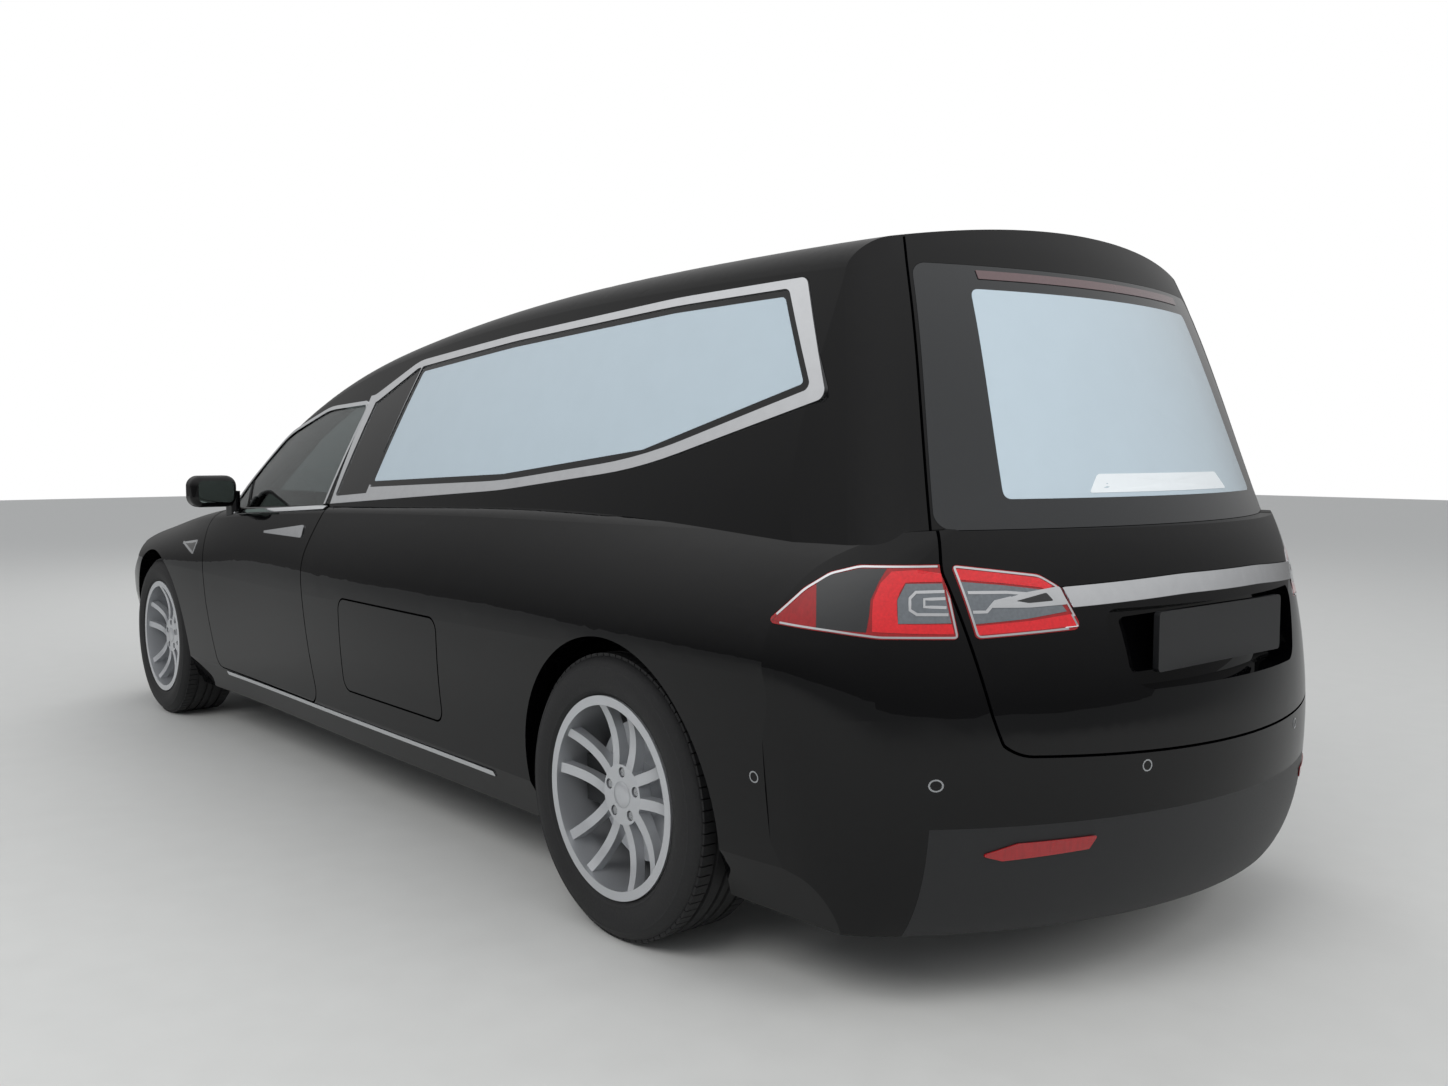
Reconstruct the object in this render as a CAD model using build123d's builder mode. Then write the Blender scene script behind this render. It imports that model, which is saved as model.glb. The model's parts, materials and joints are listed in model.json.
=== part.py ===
"""Hearse on a stretched saloon: panels, glass, doors, tailgate, lamps, wheels and running gear.

Millimetres, X forward, Y left, Z up. The origin is on the ground, midway along the length.
"""
from build123d import *
from math import cos, radians, sin
import os

os.makedirs("parts", exist_ok=True)

# Driving dimensions
WHEELBASE = 3550.0
FRONT_OVERHANG = 925.0
REAR_OVERHANG = 1105.0
FRONT_TRACK = 1662.0
REAR_TRACK = 1700.0
TYRE_RADIUS = 351.5
TYRE_WIDTH = 245.0
RIM_RADIUS = 241.0
RIM_WIDTH = 225.0
ARCH_CLEARANCE = 43.5
STEER_CLEARANCE = 30.0

# Walls and clearances
SIDE_WALL = 110.0
PILLAR_WALL = 60.0
ROOF_WALL = 45.0
GATE_WALL = 95.0
FLOOR_WALL = 120.0
SCUTTLE_WALL = 60.0
GLASS = 6.0
SHUT_GAP = 6.0
SEAT_GAP = 0.8
FLANGE = 22.0
SKIN = 14.0
FRAME_STEP = 26.0
REACH = 3000.0
HALF_WIDTH = 1150.0
TRIM_PROUD = 4.0
HATCH_WALL = 28.0
LAMP_DEPTH = 40.0
RECESS_DEPTH = 55.0
BAR_PROUD = 6.0
BAR_DEPTH = 12.0
SIDE_DEPTH = 420.0
SIDE_INNER = 250.0
WELL_WALL = 25.0
BONNET_WALL = 40.0
NOSE_WALL = 200.0
BAY_HALF = 430.0
WELL_INNER_FRONT = 490.0
LIP_INNER = 900.0
DOOR_INNER = 790.0
SILL_Z = 190.0
CABIN_SKIRT = 80.0
END_MARGIN = 100.0

# Axles and the main cross planes
FRONT_AXLE = (WHEELBASE + REAR_OVERHANG - FRONT_OVERHANG) / 2
REAR_AXLE = FRONT_AXLE - WHEELBASE
NOSE = FRONT_AXLE + FRONT_OVERHANG
TAIL = REAR_AXLE - REAR_OVERHANG
ARCH_RADIUS = TYRE_RADIUS + ARCH_CLEARANCE
STEER_RADIUS = ARCH_RADIUS + STEER_CLEARANCE
WELL_TOP = TYRE_RADIUS + STEER_RADIUS
WELL_INNER_REAR = REAR_TRACK / 2 - TYRE_WIDTH / 2 - 60
FIREWALL = FRONT_AXLE - 600
GATE_HINGE_X = REAR_AXLE - 535
B_PILLAR = FRONT_AXLE - 1750
HEADER_X = FRONT_AXLE - 1450
TAIL_STATION = REAR_AXLE - 560
GATE_STATION = REAR_AXLE - 330
NOSE_STATION = FRONT_AXLE + 330
TAIL_START = REAR_AXLE - 300
NOSE_START = FRONT_AXLE + 300
VALANCE_FRONT = REAR_AXLE - 640

# Lower body: x, z and y of sill, z and y of the tuck-under, of the widest line and of the belt,
# height of the top at the middle, shoulder radius
LOWER_SECTIONS = [
    (NOSE + 55, SILL_Z, 640, 300, 720, 560, 790, 670, 680, 720, 60),
    (FRONT_AXLE + 480, SILL_Z, 800, 310, 880, 640, 915, 780, 800, 830, 80),
    (FRONT_AXLE, SILL_Z, 880, 310, 940, 690, 975, 850, 860, 915, 90),
    (FRONT_AXLE - 750, SILL_Z, 880, 310, 935, 690, 962, 950, 905, 1010, 60),
    (REAR_AXLE + 1750, SILL_Z, 880, 310, 935, 690, 964, 1000, 905, 1030, 40),
    (REAR_AXLE + 850, SILL_Z, 880, 310, 935, 700, 968, 1030, 890, 1050, 50),
    (REAR_AXLE, SILL_Z, 880, 310, 945, 720, 982, 1035, 845, 1060, 80),
    (REAR_AXLE - 700, SILL_Z, 860, 320, 915, 720, 950, 1025, 755, 1055, 80),
    (TAIL - 145, SILL_Z, 830, 330, 870, 720, 895, 1005, 650, 1040, 80),
]
# Greenhouse: x, z and y of the base, z and y of the roof rail, height of the crown, rail radius
ROOF_SECTIONS = [
    (FRONT_AXLE - 160, 600, 790, 700, 770, 855, 30),
    (FRONT_AXLE - 660, 850, 860, 1003, 805, 1108, 40),
    (FRONT_AXLE - 1160, 932, 900, 1282, 755, 1362, 50),
    (FRONT_AXLE - 1660, 950, 908, 1466, 705, 1525, 65),
    (REAR_AXLE + 1390, 965, 900, 1556, 690, 1612, 75),
    (REAR_AXLE + 890, 980, 888, 1613, 678, 1670, 85),
    (REAR_AXLE + 390, 988, 872, 1645, 668, 1702, 95),
    (REAR_AXLE - 110, 990, 853, 1656, 660, 1715, 100),
    (REAR_AXLE - 610, 988, 828, 1655, 645, 1716, 110),
    (TAIL - 5, 980, 790, 1640, 610, 1700, 110),
]
# Tail, tailgate glass and nose outlines in plan: z, x of the end at the middle, y where the sides begin
# and where they meet the end's arc, corner radius
TAIL_ROWS = [
    (150, TAIL + 110, 890, 870, 220),
    (330, TAIL + 15, 932, 905, 300),
    (560, TAIL, 958, 930, 330),
    (750, TAIL + 20, 964, 935, 330),
    (900, TAIL + 55, 918, 890, 300),
    (1000, TAIL + 92, 830, 800, 260),
    (1100, TAIL + 150, 720, 690, 200),
]
GATE_ROWS = [
    (900, REAR_AXLE - 1004, 880, 825, 150),
    (1270, REAR_AXLE - 849, 800, 733, 150),
    (1640, REAR_AXLE - 693, 720, 640, 150),
    (1780, REAR_AXLE - 615, 690, 605, 150),
]
NOSE_ROWS = [
    (150, NOSE - 80, 860, 780, 250),
    (350, NOSE - 8, 920, 850, 300),
    (520, NOSE, 945, 875, 300),
    (650, NOSE - 35, 952, 870, 300),
    (760, NOSE - 110, 905, 820, 250),
    (900, NOSE - 260, 860, 790, 200),
    (1150, NOSE - 600, 860, 790, 200),
]
# Side outlines of the left-hand openings, from the B-pillar: x, z, corner radius
DOOR = [(1000, 958, 20), (1122, 905, 60), (1080, 570, 300), (1022, 308, 60), (5, 302, 60), (92, 800, 150),
        (-32, 1002, 10)]
DOOR_GLASS = [(1075, 925, 0), (610, 1245, 350), (260, 1335, 500), (-78, 1347, 15), (35, 985, 0)]
# Side outlines behind the door, from the rear axle: x, z, corner radius
SIDE_GLASS = [(1500, 1072, 10), (677, 1108, 3000), (55, 1177, 2000), (-488, 1330, 15), (-348, 1563, 25),
              (57, 1556, 3000), (802, 1515, 3000), (1372, 1468, 10)]
WINDOW_FRAME = [(1766, 1008, 0), (677, 1080, 3000), (55, 1149, 2000), (-540, 1308, 20), (-398, 1586, 30),
                (57, 1578, 3000), (802, 1537, 3000), (1408, 1490, 300), (1680, 1384, 120), (1712, 1383, 0)]
PILLAR = [(1740, 1036, 5), (1506, 1052, 5), (1379, 1465, 5), (1400, 1465, 60), (1640, 1362, 120),
          (1655, 1358, 5)]
HATCH = [(865, 395, 40), (1550, 395, 40), (1550, 700, 40), (865, 700, 40)]
# Plan outlines from the front axle, half of them: y, x, corner radius
BONNET = [(280, -400, 300), (735, -560, 50), (725, 0, 400), (640, 470, 300), (450, 640, 150),
          (200, 690, 200)]
SCREEN = [(260, -440, 300), (700, -650, 60), (632, -1450, 60)]
# Splits of the fixed panels: bumpers in the side view from their axle, roof in plan
BUMPER_REAR = [(-330, 612), (-700, 650), (-900, 655), (-1400, 655), (-1400, 100), (-330, 100)]
BUMPER_FRONT = [(385, 100), (430, 560), (600, 640), (740, 690), (740, 1000), (1300, 1000), (1300, 100)]
ROOF_PLAN = [(560, HEADER_X + 30), (570, REAR_AXLE + 890), (500, GATE_HINGE_X)]
VALANCE_TOP = 360.0
ROOF_SPLIT = 1250.0
BONNET_FLOOR = 500.0
SCREEN_FLOOR = 800.0
FLOOR_HALF = 770.0
FLOOR_SPLIT = 430.0
GATE_SHELF = 1005.0
GATE_BORDER = 60.0
PLATE_WIDTH = 530.0
PLATE_HEIGHT = 130.0
PLATE_THICK = 14.0
PLATE_Z = 785.0
PLATE_CORNER = 10.0
# Rear outline of the tailgate, half of it: y, z, corner radius, on a plane behind the tail
GATE = [(588, 1800, 0), (633, 1606, 200), (734, 1020, 60), (747, 950, 60), (682, 640, 30), (652, 550, 60)]
GATE_TAPER = 6.0
LAMP_CORNER = 900.0
LAMP_REACH = 500.0
GATE_GLASS_OUTLINE = [(560, 1608, 40), (682, 1028, 30)]
LAMP_GATE = [(690, 962, 10), (525, 939, 20), (487, 913, 20), (454, 825, 15), (672, 812, 10)]
LAMP_BODY = [(278, 838, 8), (198, 912, 30), (145, 945, 40), (85, 961, 40), (-85, 962, 10), (-117, 812, 10),
             (45, 814, 40), (145, 826, 40)]
GATE_BAR = [(640, 878, 4), (480, 912, 30), (160, 926, 2000), (-160, 926, 2000), (-480, 912, 30),
            (-640, 878, 4), (-480, 870, 30), (-160, 884, 2000), (160, 884, 2000), (480, 870, 30)]
PLATE_RECESS = [(415, 862, 30), (330, 690, 60)]
# Front outlines of the left headlamp and half the intake, rear outline of the left reflector: y, z, radius
HEADLAMP = [(840, 690, 20), (560, 660, 30), (500, 610, 20), (700, 600, 40), (860, 640, 30)]
INTAKE = [(560, 430, 25), (480, 300, 25)]
REFLECTOR = [(680, 372, 4), (610, 394, 10), (441, 396, 4), (458, 368, 4), (637, 358, 10)]
# Side outlines of the strips and the handle: x, z, corner radius
SILL_STRIP = [(600, 280, 0), (2740, 280, 0), (2740, 296, 0), (600, 296, 0)]
HANDLE = [(470, 884, 2), (470, 892, 2), (105, 930, 12), (105, 884, 12)]
BELT_STRIP = [(846, 942, 0), (846, 956, 0), (321, 984, 0), (-20, 1004, 0), (-15, 990, 0), (321, 970, 0)]
STRIP_WIDTH = 14.0
INTAKE_SET_BACK = 8.0
INTAKE_DEPTH = 50.0
INTAKE_RIM = 14.0
SLAT_COUNT = 3
SLAT_START = 312.0
SLAT_PITCH = 30.0
SLAT_THICK = 10.0
# Door mirror, x from the B-pillar
MIRROR_X = 905.0
MIRROR_Y = 985.0
MIRROR_Z = 1030.0
MIRROR_DEPTH = 120.0
MIRROR_WIDTH = 180.0
MIRROR_HEIGHT = 125.0
MIRROR_ROUND = 42.0
MIRROR_FOOT_Y = 900.0
MIRROR_FOOT_LENGTH = 90.0
MIRROR_FOOT_WIDTH = 36.0
MIRROR_FOOT_HEIGHT = 120.0
# Wheel: distances along the axle are from the wheel's middle plane, outwards
BEAD_HALF = 105.0
TREAD_HALF = 92.0
SHOULDER_DROP = 18.0
RIM_WALL = 15.0
RIM_FLANGE = 8.0
HUB_RADIUS = 75.0
HUB_INNER = 28.0
HUB_BACK = 36.0
HUB_FRONT = 70.0
SPOKE_FRONT_MIDDLE = (160.0, 72.0)
SPOKE_FRONT_END = (RIM_RADIUS - 6, 106.0)
SPOKE_BACK_MIDDLE = (155.0, 46.0)
SPOKE_BACK_END = (RIM_RADIUS - 6, 72.0)
SPOKE_PAIRS = 5
# Edges of the two spokes of a pair at the hub and at the rim, sideways from the pair's radius
SPOKE_EDGES = [((6, 34), (58, 84)), ((-34, -6), (-54, -28))]
LUG_CIRCLE = 112.0
LUG_COUNT = 5
LUG_RADIUS = 13.0
LUG_DEPTH = 16.0
DISC_RADIUS = 175.0
DISC_INNER = -20.0
DISC_OUTER = 8.0
BRAKE_GAP = 6.0
CALIPER_NEAR = 115.0
CALIPER_FAR = 205.0
CALIPER_HALF = 60.0
CALIPER_WALL = 18.0
WEB_HALF = 26.0
CARRIER_RADIUS = 50.0
CARRIER_BACK = 20.0
STUB_RADIUS = 22.0
# Steering and suspension
KINGPIN_Y = 750.0
KINGPIN_RADIUS = 22.0
KINGPIN_HALF = 130.0
ARM_THICK = 28.0
ARM_END = 32.0
ARM_SPREAD = 120.0
DAMPER_X = 62.0
DAMPER_Y = 585.0
DAMPER_RADIUS = 26.0
DAMPER_TOP = 765.0
REAR_CARRIER = 110.0
REAR_ARM_DROP = 110.0
# Heavy masses
DRIVE_LENGTH = 560.0
DRIVE_WIDTH = 620.0
DRIVE_HEIGHT = 360.0
DRIVE_ROUND = 30.0
BATTERY_REAR = 560.0
BATTERY_FRONT = 60.0
BATTERY_HALF = 700.0
BATTERY_THICK = 45.0
BATTERY_CORNER = 80.0
# Cabin: dashboard side outline from the firewall, seat side outline from the B-pillar: x, z, corner radius
DASH = [(-SEAT_GAP, 620, 0), (-SEAT_GAP, 930, 0), (-130, 945, 60), (-250, 890, 40), (-275, 790, 40),
        (-200, 620, 40)]
DASH_HALF = 600.0
CABIN_FLOOR = SILL_Z + FLOOR_WALL + SEAT_GAP
SEAT = [(675, CABIN_FLOOR, 20), (685, 560, 60), (285, 530, 60), (135, 1120, 50), (35, 1120, 40),
        (165, 480, 40), (185, CABIN_FLOOR, 20)]
SEAT_Y = 390.0
SEAT_WIDTH = 480.0
WHEEL_X = 715.0
WHEEL_Z = 880.0
WHEEL_RADIUS = 178.0
WHEEL_GRIP = 15.0
WHEEL_HUB = 55.0
COLUMN_TILT = radians(25.0)
COLUMN_START = 60.0
COLUMN_LENGTH = 160.0
COLUMN_RADIUS = 45.0
# Load deck, ends from the tail and the B-pillar, bier pins from the rear axle
DECK_REAR = 350.0
DECK_FRONT = 300.0
DECK_HALF = 625.0
DECK_TOP = 600.0
DECK_THICK = 40.0
DECK_SKIRT = 30.0
PIN_X = (-500.0, 900.0)
PIN_Y = 310.0
PIN_RADIUS = 10.0
SIDE_BULGE = 12.0
PLAN_RADIUS_REAR = 1300.0
PLAN_RADIUS_GATE = 1500.0
PLAN_RADIUS_NOSE = 1500.0


def cross_plane(x):
    """Plane across the car at x, drawn in Y and Z, facing forwards."""
    return Plane(origin=(x, 0, 0), x_dir=(0, 1, 0), z_dir=(1, 0, 0))


def side_plane(y):
    """Plane along the car at y, drawn in X and Z, facing the right-hand side."""
    return Plane(origin=(0, y, 0), x_dir=(1, 0, 0), z_dir=(0, -1, 0))


def lower_body(wall=0.0, floor=0.0, lid=0.0):
    """Lower body loft, drawn in by a wall at its sides, a floor below and a lid above."""
    with BuildPart() as body:
        for row in LOWER_SECTIONS:
            x, z_sill, y_sill, z_tuck, y_tuck, z_wide, y_wide, z_belt, y_belt, z_top, radius = row
            sill = (y_sill - wall, z_sill + floor)
            tuck = (y_tuck - wall, z_tuck + floor)
            wide = (y_wide - wall, z_wide)
            belt = (y_belt - wall, z_belt - lid)
            with BuildSketch(cross_plane(x)) as section:
                with BuildLine():
                    Line((0, sill[1]), sill)
                    Line(sill, tuck)
                    TangentArc(wide, tuck, tangent=(0, -1))
                    TangentArc(wide, belt, tangent=(0, 1))
                    ThreePointArc(belt, (0, z_top - lid), (-belt[0], belt[1]))
                    TangentArc((-wide[0], wide[1]), (-belt[0], belt[1]), tangent=(0, 1))
                    TangentArc((-wide[0], wide[1]), (-tuck[0], tuck[1]), tangent=(0, -1))
                    Line((-tuck[0], tuck[1]), (-sill[0], sill[1]))
                    Line((-sill[0], sill[1]), (0, sill[1]))
                make_face()
                shoulders = section.vertices().filter_by(lambda v: abs(v.Y - belt[1]) < 0.01)
                fillet(shoulders, radius)
        loft()
    return body.part


def greenhouse(wall=0.0, lid=0.0, skirt=0.0):
    """Loft of the windows and roof, drawn in by a wall and a lid and carried down by a skirt."""
    with BuildPart() as body:
        for x, z_base, y_base, z_rail, y_rail, z_crown, radius in ROOF_SECTIONS:
            base = (y_base - wall, z_base - skirt)
            rail = (y_rail - wall, z_rail - lid)
            middle = ((base[0] + rail[0]) / 2 + SIDE_BULGE, (base[1] + rail[1]) / 2)
            with BuildSketch(cross_plane(x)) as section:
                with BuildLine():
                    Line((-base[0], base[1]), base)
                    ThreePointArc(base, middle, rail)
                    ThreePointArc(rail, (0, z_crown - lid), (-rail[0], rail[1]))
                    ThreePointArc((-rail[0], rail[1]), (-middle[0], middle[1]), (-base[0], base[1]))
                make_face()
                rails = section.vertices().filter_by(lambda v: abs(v.Y - rail[1]) < 0.01)
                fillet(rails, radius)
        loft()
    return body.part


def end_form(rows, station, direction, plan_radius, depth=0.0):
    """Loft of plan outlines that bound one end of the lower body, drawn in by a depth.

    The outlines have an arc across the end, round corners and open out at the station.
    """
    start = station - direction * depth
    with BuildPart() as form:
        for z, x_end, y_station, y_side, radius in rows:
            middle = x_end - direction * depth
            corner = middle - direction * (plan_radius - (plan_radius**2 - y_side**2) ** 0.5)
            far = start - direction * 2 * REACH
            with BuildSketch(Plane.XY.offset(z)) as outline:
                with BuildLine():
                    ThreePointArc((corner, y_side), (middle, 0), (corner, -y_side))
                    Polyline((corner, y_side), (start, y_station), (start, REACH), (far, REACH))
                    Line((far, REACH), (far, -REACH))
                    Polyline((far, -REACH), (start, -REACH), (start, -y_station), (corner, -y_side))
                make_face()
                fillet(outline.vertices().filter_by(lambda v: abs(v.X - corner) < 0.01), radius)
        loft()
    return form.part


def tail_form(depth=0.0):
    """Bounds of the tail, drawn in by a depth."""
    return end_form(TAIL_ROWS, TAIL_STATION, -1, PLAN_RADIUS_REAR, depth)


def gate_form(depth=0.0):
    """Bounds of the greenhouse at the sloping tailgate glass, drawn in by a depth."""
    return end_form(GATE_ROWS, GATE_STATION, -1, PLAN_RADIUS_GATE, depth)


def nose_form(depth=0.0):
    """Bounds of the nose, drawn in by a depth."""
    return end_form(NOSE_ROWS, NOSE_STATION, 1, PLAN_RADIUS_NOSE, depth)


def block(x_from, x_to, y_from, y_to, z_from, z_to):
    """Box between two corners."""
    with BuildPart() as solid:
        with Locations(((x_from + x_to) / 2, (y_from + y_to) / 2, (z_from + z_to) / 2)):
            Box(x_to - x_from, y_to - y_from, z_to - z_from)
    return solid.part


def cylinder_across(x, z, radius, y_from, y_to):
    """Cylinder along Y."""
    with BuildPart() as solid:
        with BuildSketch(side_plane(y_to)):
            with Locations((x, z)):
                Circle(radius)
        extrude(amount=y_to - y_from)
    return solid.part


def prism(plane, rows, length, grow=0.0):
    """Outline of corners (u, v, radius) on a plane, grown by an offset and extruded."""
    with BuildPart() as solid:
        with BuildSketch(plane):
            with BuildLine():
                FilletPolyline(*[(u, v) for u, v, _ in rows], radius=[r for *_, r in rows], close=True)
            make_face()
            if grow:
                offset(amount=grow, kind=Kind.INTERSECTION)
        extrude(amount=length)
    return solid.part


def side_prism(rows, datum, grow=0.0):
    """Outline in the side view, measured from a datum, through the left-hand side."""
    placed = [(datum + x, z, r) for x, z, r in rows]
    return prism(side_plane(HALF_WIDTH), placed, HALF_WIDTH - SIDE_DEPTH, grow)


def mirrored(part):
    """The same piece on the right-hand side."""
    with BuildPart() as other:
        add(part)
        mirror(about=Plane.XZ, mode=Mode.REPLACE)
    return other.part


def gathered(*parts):
    """Pieces that lie apart, as one node."""
    return Compound([solid for part in parts for solid in part.solids()])


def both_sides(part):
    """A left-hand piece and its mirror image."""
    return gathered(part, mirrored(part))


def common(first, *others):
    """What the first solid shares with each of the others."""
    with BuildPart() as solid:
        add(first, clean=False)
        for other in others:
            add(other, mode=Mode.INTERSECT, clean=False)
    return solid.part


def without(first, *others):
    """The first solid with the others taken away."""
    with BuildPart() as solid:
        add(first, clean=False)
        for other in others:
            add(other, mode=Mode.SUBTRACT, clean=False)
    return solid.part


def together(*parts):
    """Union of solids."""
    with BuildPart() as solid:
        for part in parts:
            add(part, clean=False)
    return solid.part


def save(part, node):
    """Names a finished piece and writes its file."""
    part.label = node
    export_step(part, f"parts/{node}.step")


# Outer body
outer_lower = common(lower_body(), nose_form(), tail_form())
outer_upper = common(greenhouse(), gate_form())

# Cabin and load space, bay under the bonnet, wheel wells
cabin_lower = common(lower_body(SIDE_WALL, FLOOR_WALL, SCUTTLE_WALL), tail_form(GATE_WALL))
cabin_upper = common(greenhouse(PILLAR_WALL, ROOF_WALL, CABIN_SKIRT), gate_form(GATE_WALL))
wheelhouses = []
wells = []
for side in (1, -1):
    for axle, radius, inner, outer in (
        (REAR_AXLE, ARCH_RADIUS, WELL_INNER_REAR, HALF_WIDTH),
        (FRONT_AXLE, ARCH_RADIUS, WELL_INNER_FRONT, HALF_WIDTH),
        (FRONT_AXLE, STEER_RADIUS, WELL_INNER_FRONT, LIP_INNER),
    ):
        low, high = sorted((side * inner, side * outer))
        wells.append(cylinder_across(axle, TYRE_RADIUS, radius, low, high))
    low, high = sorted((side * (WELL_INNER_REAR - WELL_WALL), side * HALF_WIDTH))
    wheelhouses.append(cylinder_across(REAR_AXLE, TYRE_RADIUS, ARCH_RADIUS + WELL_WALL, low, high))
ahead = block(FIREWALL, FIREWALL + REACH, -REACH, REACH, 0, REACH)
cabin = without(together(cabin_upper, cabin_lower), ahead, *wheelhouses)
bay_room = together(
    block(FIREWALL + SCUTTLE_WALL, NOSE, -REACH, REACH, WELL_TOP + WELL_WALL, REACH),
    block(FIREWALL + SCUTTLE_WALL, NOSE, -BAY_HALF, BAY_HALF, 0, REACH),
)
bay = common(lower_body(SIDE_WALL, FLOOR_WALL, BONNET_WALL), bay_room, nose_form(NOSE_WALL))
shell = without(together(outer_lower, outer_upper), cabin, bay, together(*wells))


def half_to_full(rows):
    """Outline from its left half: the same corners again, mirrored."""
    return rows + [(-y, z, r) for y, z, r in reversed(rows)]


def rear_prism(rows, grow=0.0, taper=0.0):
    """Outline in the rear view through the tail, narrowing forwards by a taper."""
    with BuildPart() as solid:
        with BuildSketch(cross_plane(TAIL - END_MARGIN)):
            with BuildLine():
                FilletPolyline(*[(y, z) for y, z, _ in rows], radius=[r for *_, r in rows], close=True)
            make_face()
            if grow:
                offset(amount=grow, kind=Kind.INTERSECTION)
        extrude(amount=TAIL_START - TAIL + END_MARGIN, taper=taper)
    return solid.part


def front_prism(rows, grow=0.0):
    """Outline in the front view through the nose."""
    return prism(cross_plane(NOSE_START), rows, FRONT_OVERHANG, grow)


def corner_prism(rows, grow=0.0):
    """Outline seen square to the left rear corner, at 45 degrees in plan."""
    corner = (REAR_AXLE - LAMP_CORNER, LAMP_CORNER, 0)
    plane = Plane(origin=corner, x_dir=(1, 1, 0), z_dir=(1, -1, 0))
    return prism(plane, rows, LAMP_REACH, grow)


# Band of glass that follows the greenhouse, and what lies under it
glass_band = without(greenhouse(), greenhouse(GLASS, GLASS))
under_glass = greenhouse(GLASS + SEAT_GAP, GLASS + SEAT_GAP)

# Doors
left_side = common(shell, block(TAIL - END_MARGIN, NOSE + END_MARGIN, SIDE_DEPTH, HALF_WIDTH, 0, REACH))
door_shape = common(side_prism(DOOR, B_PILLAR), block(TAIL, NOSE, DOOR_INNER, HALF_WIDTH, 0, REACH))
door_rim = without(lower_body(SKIN), side_prism(DOOR, B_PILLAR, -FRAME_STEP))
door_left = without(common(left_side, door_shape), door_rim)
door_window = common(glass_band, side_prism(DOOR_GLASS, B_PILLAR))
door_glass_left = without(door_window, side_prism(DOOR, B_PILLAR, SEAT_GAP))
save(door_left, "door_left")
save(mirrored(door_left), "door_right")
save(door_glass_left, "door_glass_left")
save(mirrored(door_glass_left), "door_glass_right")

# Side hatches
hatch_left = without(common(left_side, side_prism(HATCH, REAR_AXLE)), lower_body(HATCH_WALL))
hatch_pocket = without(side_prism(HATCH, REAR_AXLE, SHUT_GAP), lower_body(HATCH_WALL + SHUT_GAP))
save(hatch_left, "hatch_left")
save(mirrored(hatch_left), "hatch_right")

# Bonnet
bonnet_rows = half_to_full(BONNET)


def bonnet_prism(grow=0.0):
    """Plan outline of the bonnet."""
    rows = [(FRONT_AXLE + x, y, r) for y, x, r in bonnet_rows]
    return prism(Plane.XY.offset(BONNET_FLOOR), rows, REACH, grow)


bonnet = without(common(outer_lower, bonnet_prism()), lower_body(0, 0, BONNET_WALL))
bonnet_pocket = without(bonnet_prism(SHUT_GAP), lower_body(0, 0, BONNET_WALL + SHUT_GAP))
save(bonnet, "bonnet")

# Windscreen
screen_rows = [(FRONT_AXLE + x, y, r) for y, x, r in half_to_full(SCREEN)]
screen_floor = Plane.XY.offset(SCREEN_FLOOR)
windscreen = common(glass_band, prism(screen_floor, screen_rows, REACH))
screen_recess = without(prism(screen_floor, screen_rows, REACH, SEAT_GAP), under_glass)
screen_opening = prism(screen_floor, screen_rows, REACH, -FLANGE)
save(windscreen, "windscreen")

# Side glass, pillar covers and bright window frames
side_glass = common(glass_band, side_prism(SIDE_GLASS, REAR_AXLE))
pillar_cover = common(glass_band, side_prism(PILLAR, REAR_AXLE))
frame_shape = without(side_prism(WINDOW_FRAME, REAR_AXLE), side_prism(SIDE_GLASS, REAR_AXLE, SEAT_GAP),
                      side_prism(PILLAR, REAR_AXLE, SEAT_GAP))
window_frame = without(common(greenhouse(-TRIM_PROUD, -TRIM_PROUD), frame_shape), greenhouse(GLASS, GLASS))
side_recess = without(side_prism(WINDOW_FRAME, REAR_AXLE, SEAT_GAP), under_glass)
side_opening = side_prism(SIDE_GLASS, REAR_AXLE, -FLANGE)
save(both_sides(side_glass), "side_glasses")
save(both_sides(pillar_cover), "pillar_covers")

# Tailgate with its glass, lamps, bar and plate holder
gate_rows = half_to_full(GATE)
behind_hinge = block(TAIL - REACH, GATE_HINGE_X, -REACH, REACH, 0, REACH)
gate_space = common(rear_prism(gate_rows, SHUT_GAP, GATE_TAPER),
                    block(TAIL - REACH, GATE_HINGE_X + SHUT_GAP, -REACH, REACH, 0, REACH))
gate_glass_rows = half_to_full(GATE_GLASS_OUTLINE)
gate_glass = without(common(outer_upper, rear_prism(gate_glass_rows)), gate_form(GLASS))
gate_glass_seat = without(rear_prism(gate_glass_rows, SEAT_GAP), gate_form(GLASS + SEAT_GAP),
                          block(TAIL - REACH, REACH, -REACH, REACH, 0, GATE_SHELF))
lamp_gate = without(common(rear_prism(LAMP_GATE), outer_lower), tail_form(LAMP_DEPTH))
lamp_gate_seat = without(rear_prism(LAMP_GATE, SEAT_GAP), tail_form(LAMP_DEPTH + SEAT_GAP))
gate_lamp_seats = (lamp_gate_seat, mirrored(lamp_gate_seat))
bar = without(common(rear_prism(GATE_BAR), tail_form(-BAR_PROUD)), tail_form(BAR_DEPTH), *gate_lamp_seats)
bar_seat = without(rear_prism(GATE_BAR, SEAT_GAP), tail_form(BAR_DEPTH + SEAT_GAP))
recess = without(rear_prism(half_to_full(PLATE_RECESS)), tail_form(RECESS_DEPTH))
tailgate = without(common(shell, behind_hinge, rear_prism(gate_rows, 0, GATE_TAPER)), gate_glass_seat,
                   rear_prism(gate_glass_rows, -GATE_BORDER), *gate_lamp_seats, bar_seat, recess)
save(tailgate, "tailgate")
save(gate_glass, "tailgate_glass")
save(both_sides(lamp_gate), "tail_lamps_gate")
save(bar, "tailgate_bar")
recess_floor = tail_form(RECESS_DEPTH)
plate_foot = PLATE_Z - PLATE_HEIGHT / 2
probe_box = block(TAIL - REACH, TAIL + REACH, -GLASS, GLASS, plate_foot, plate_foot + GLASS)
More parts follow.
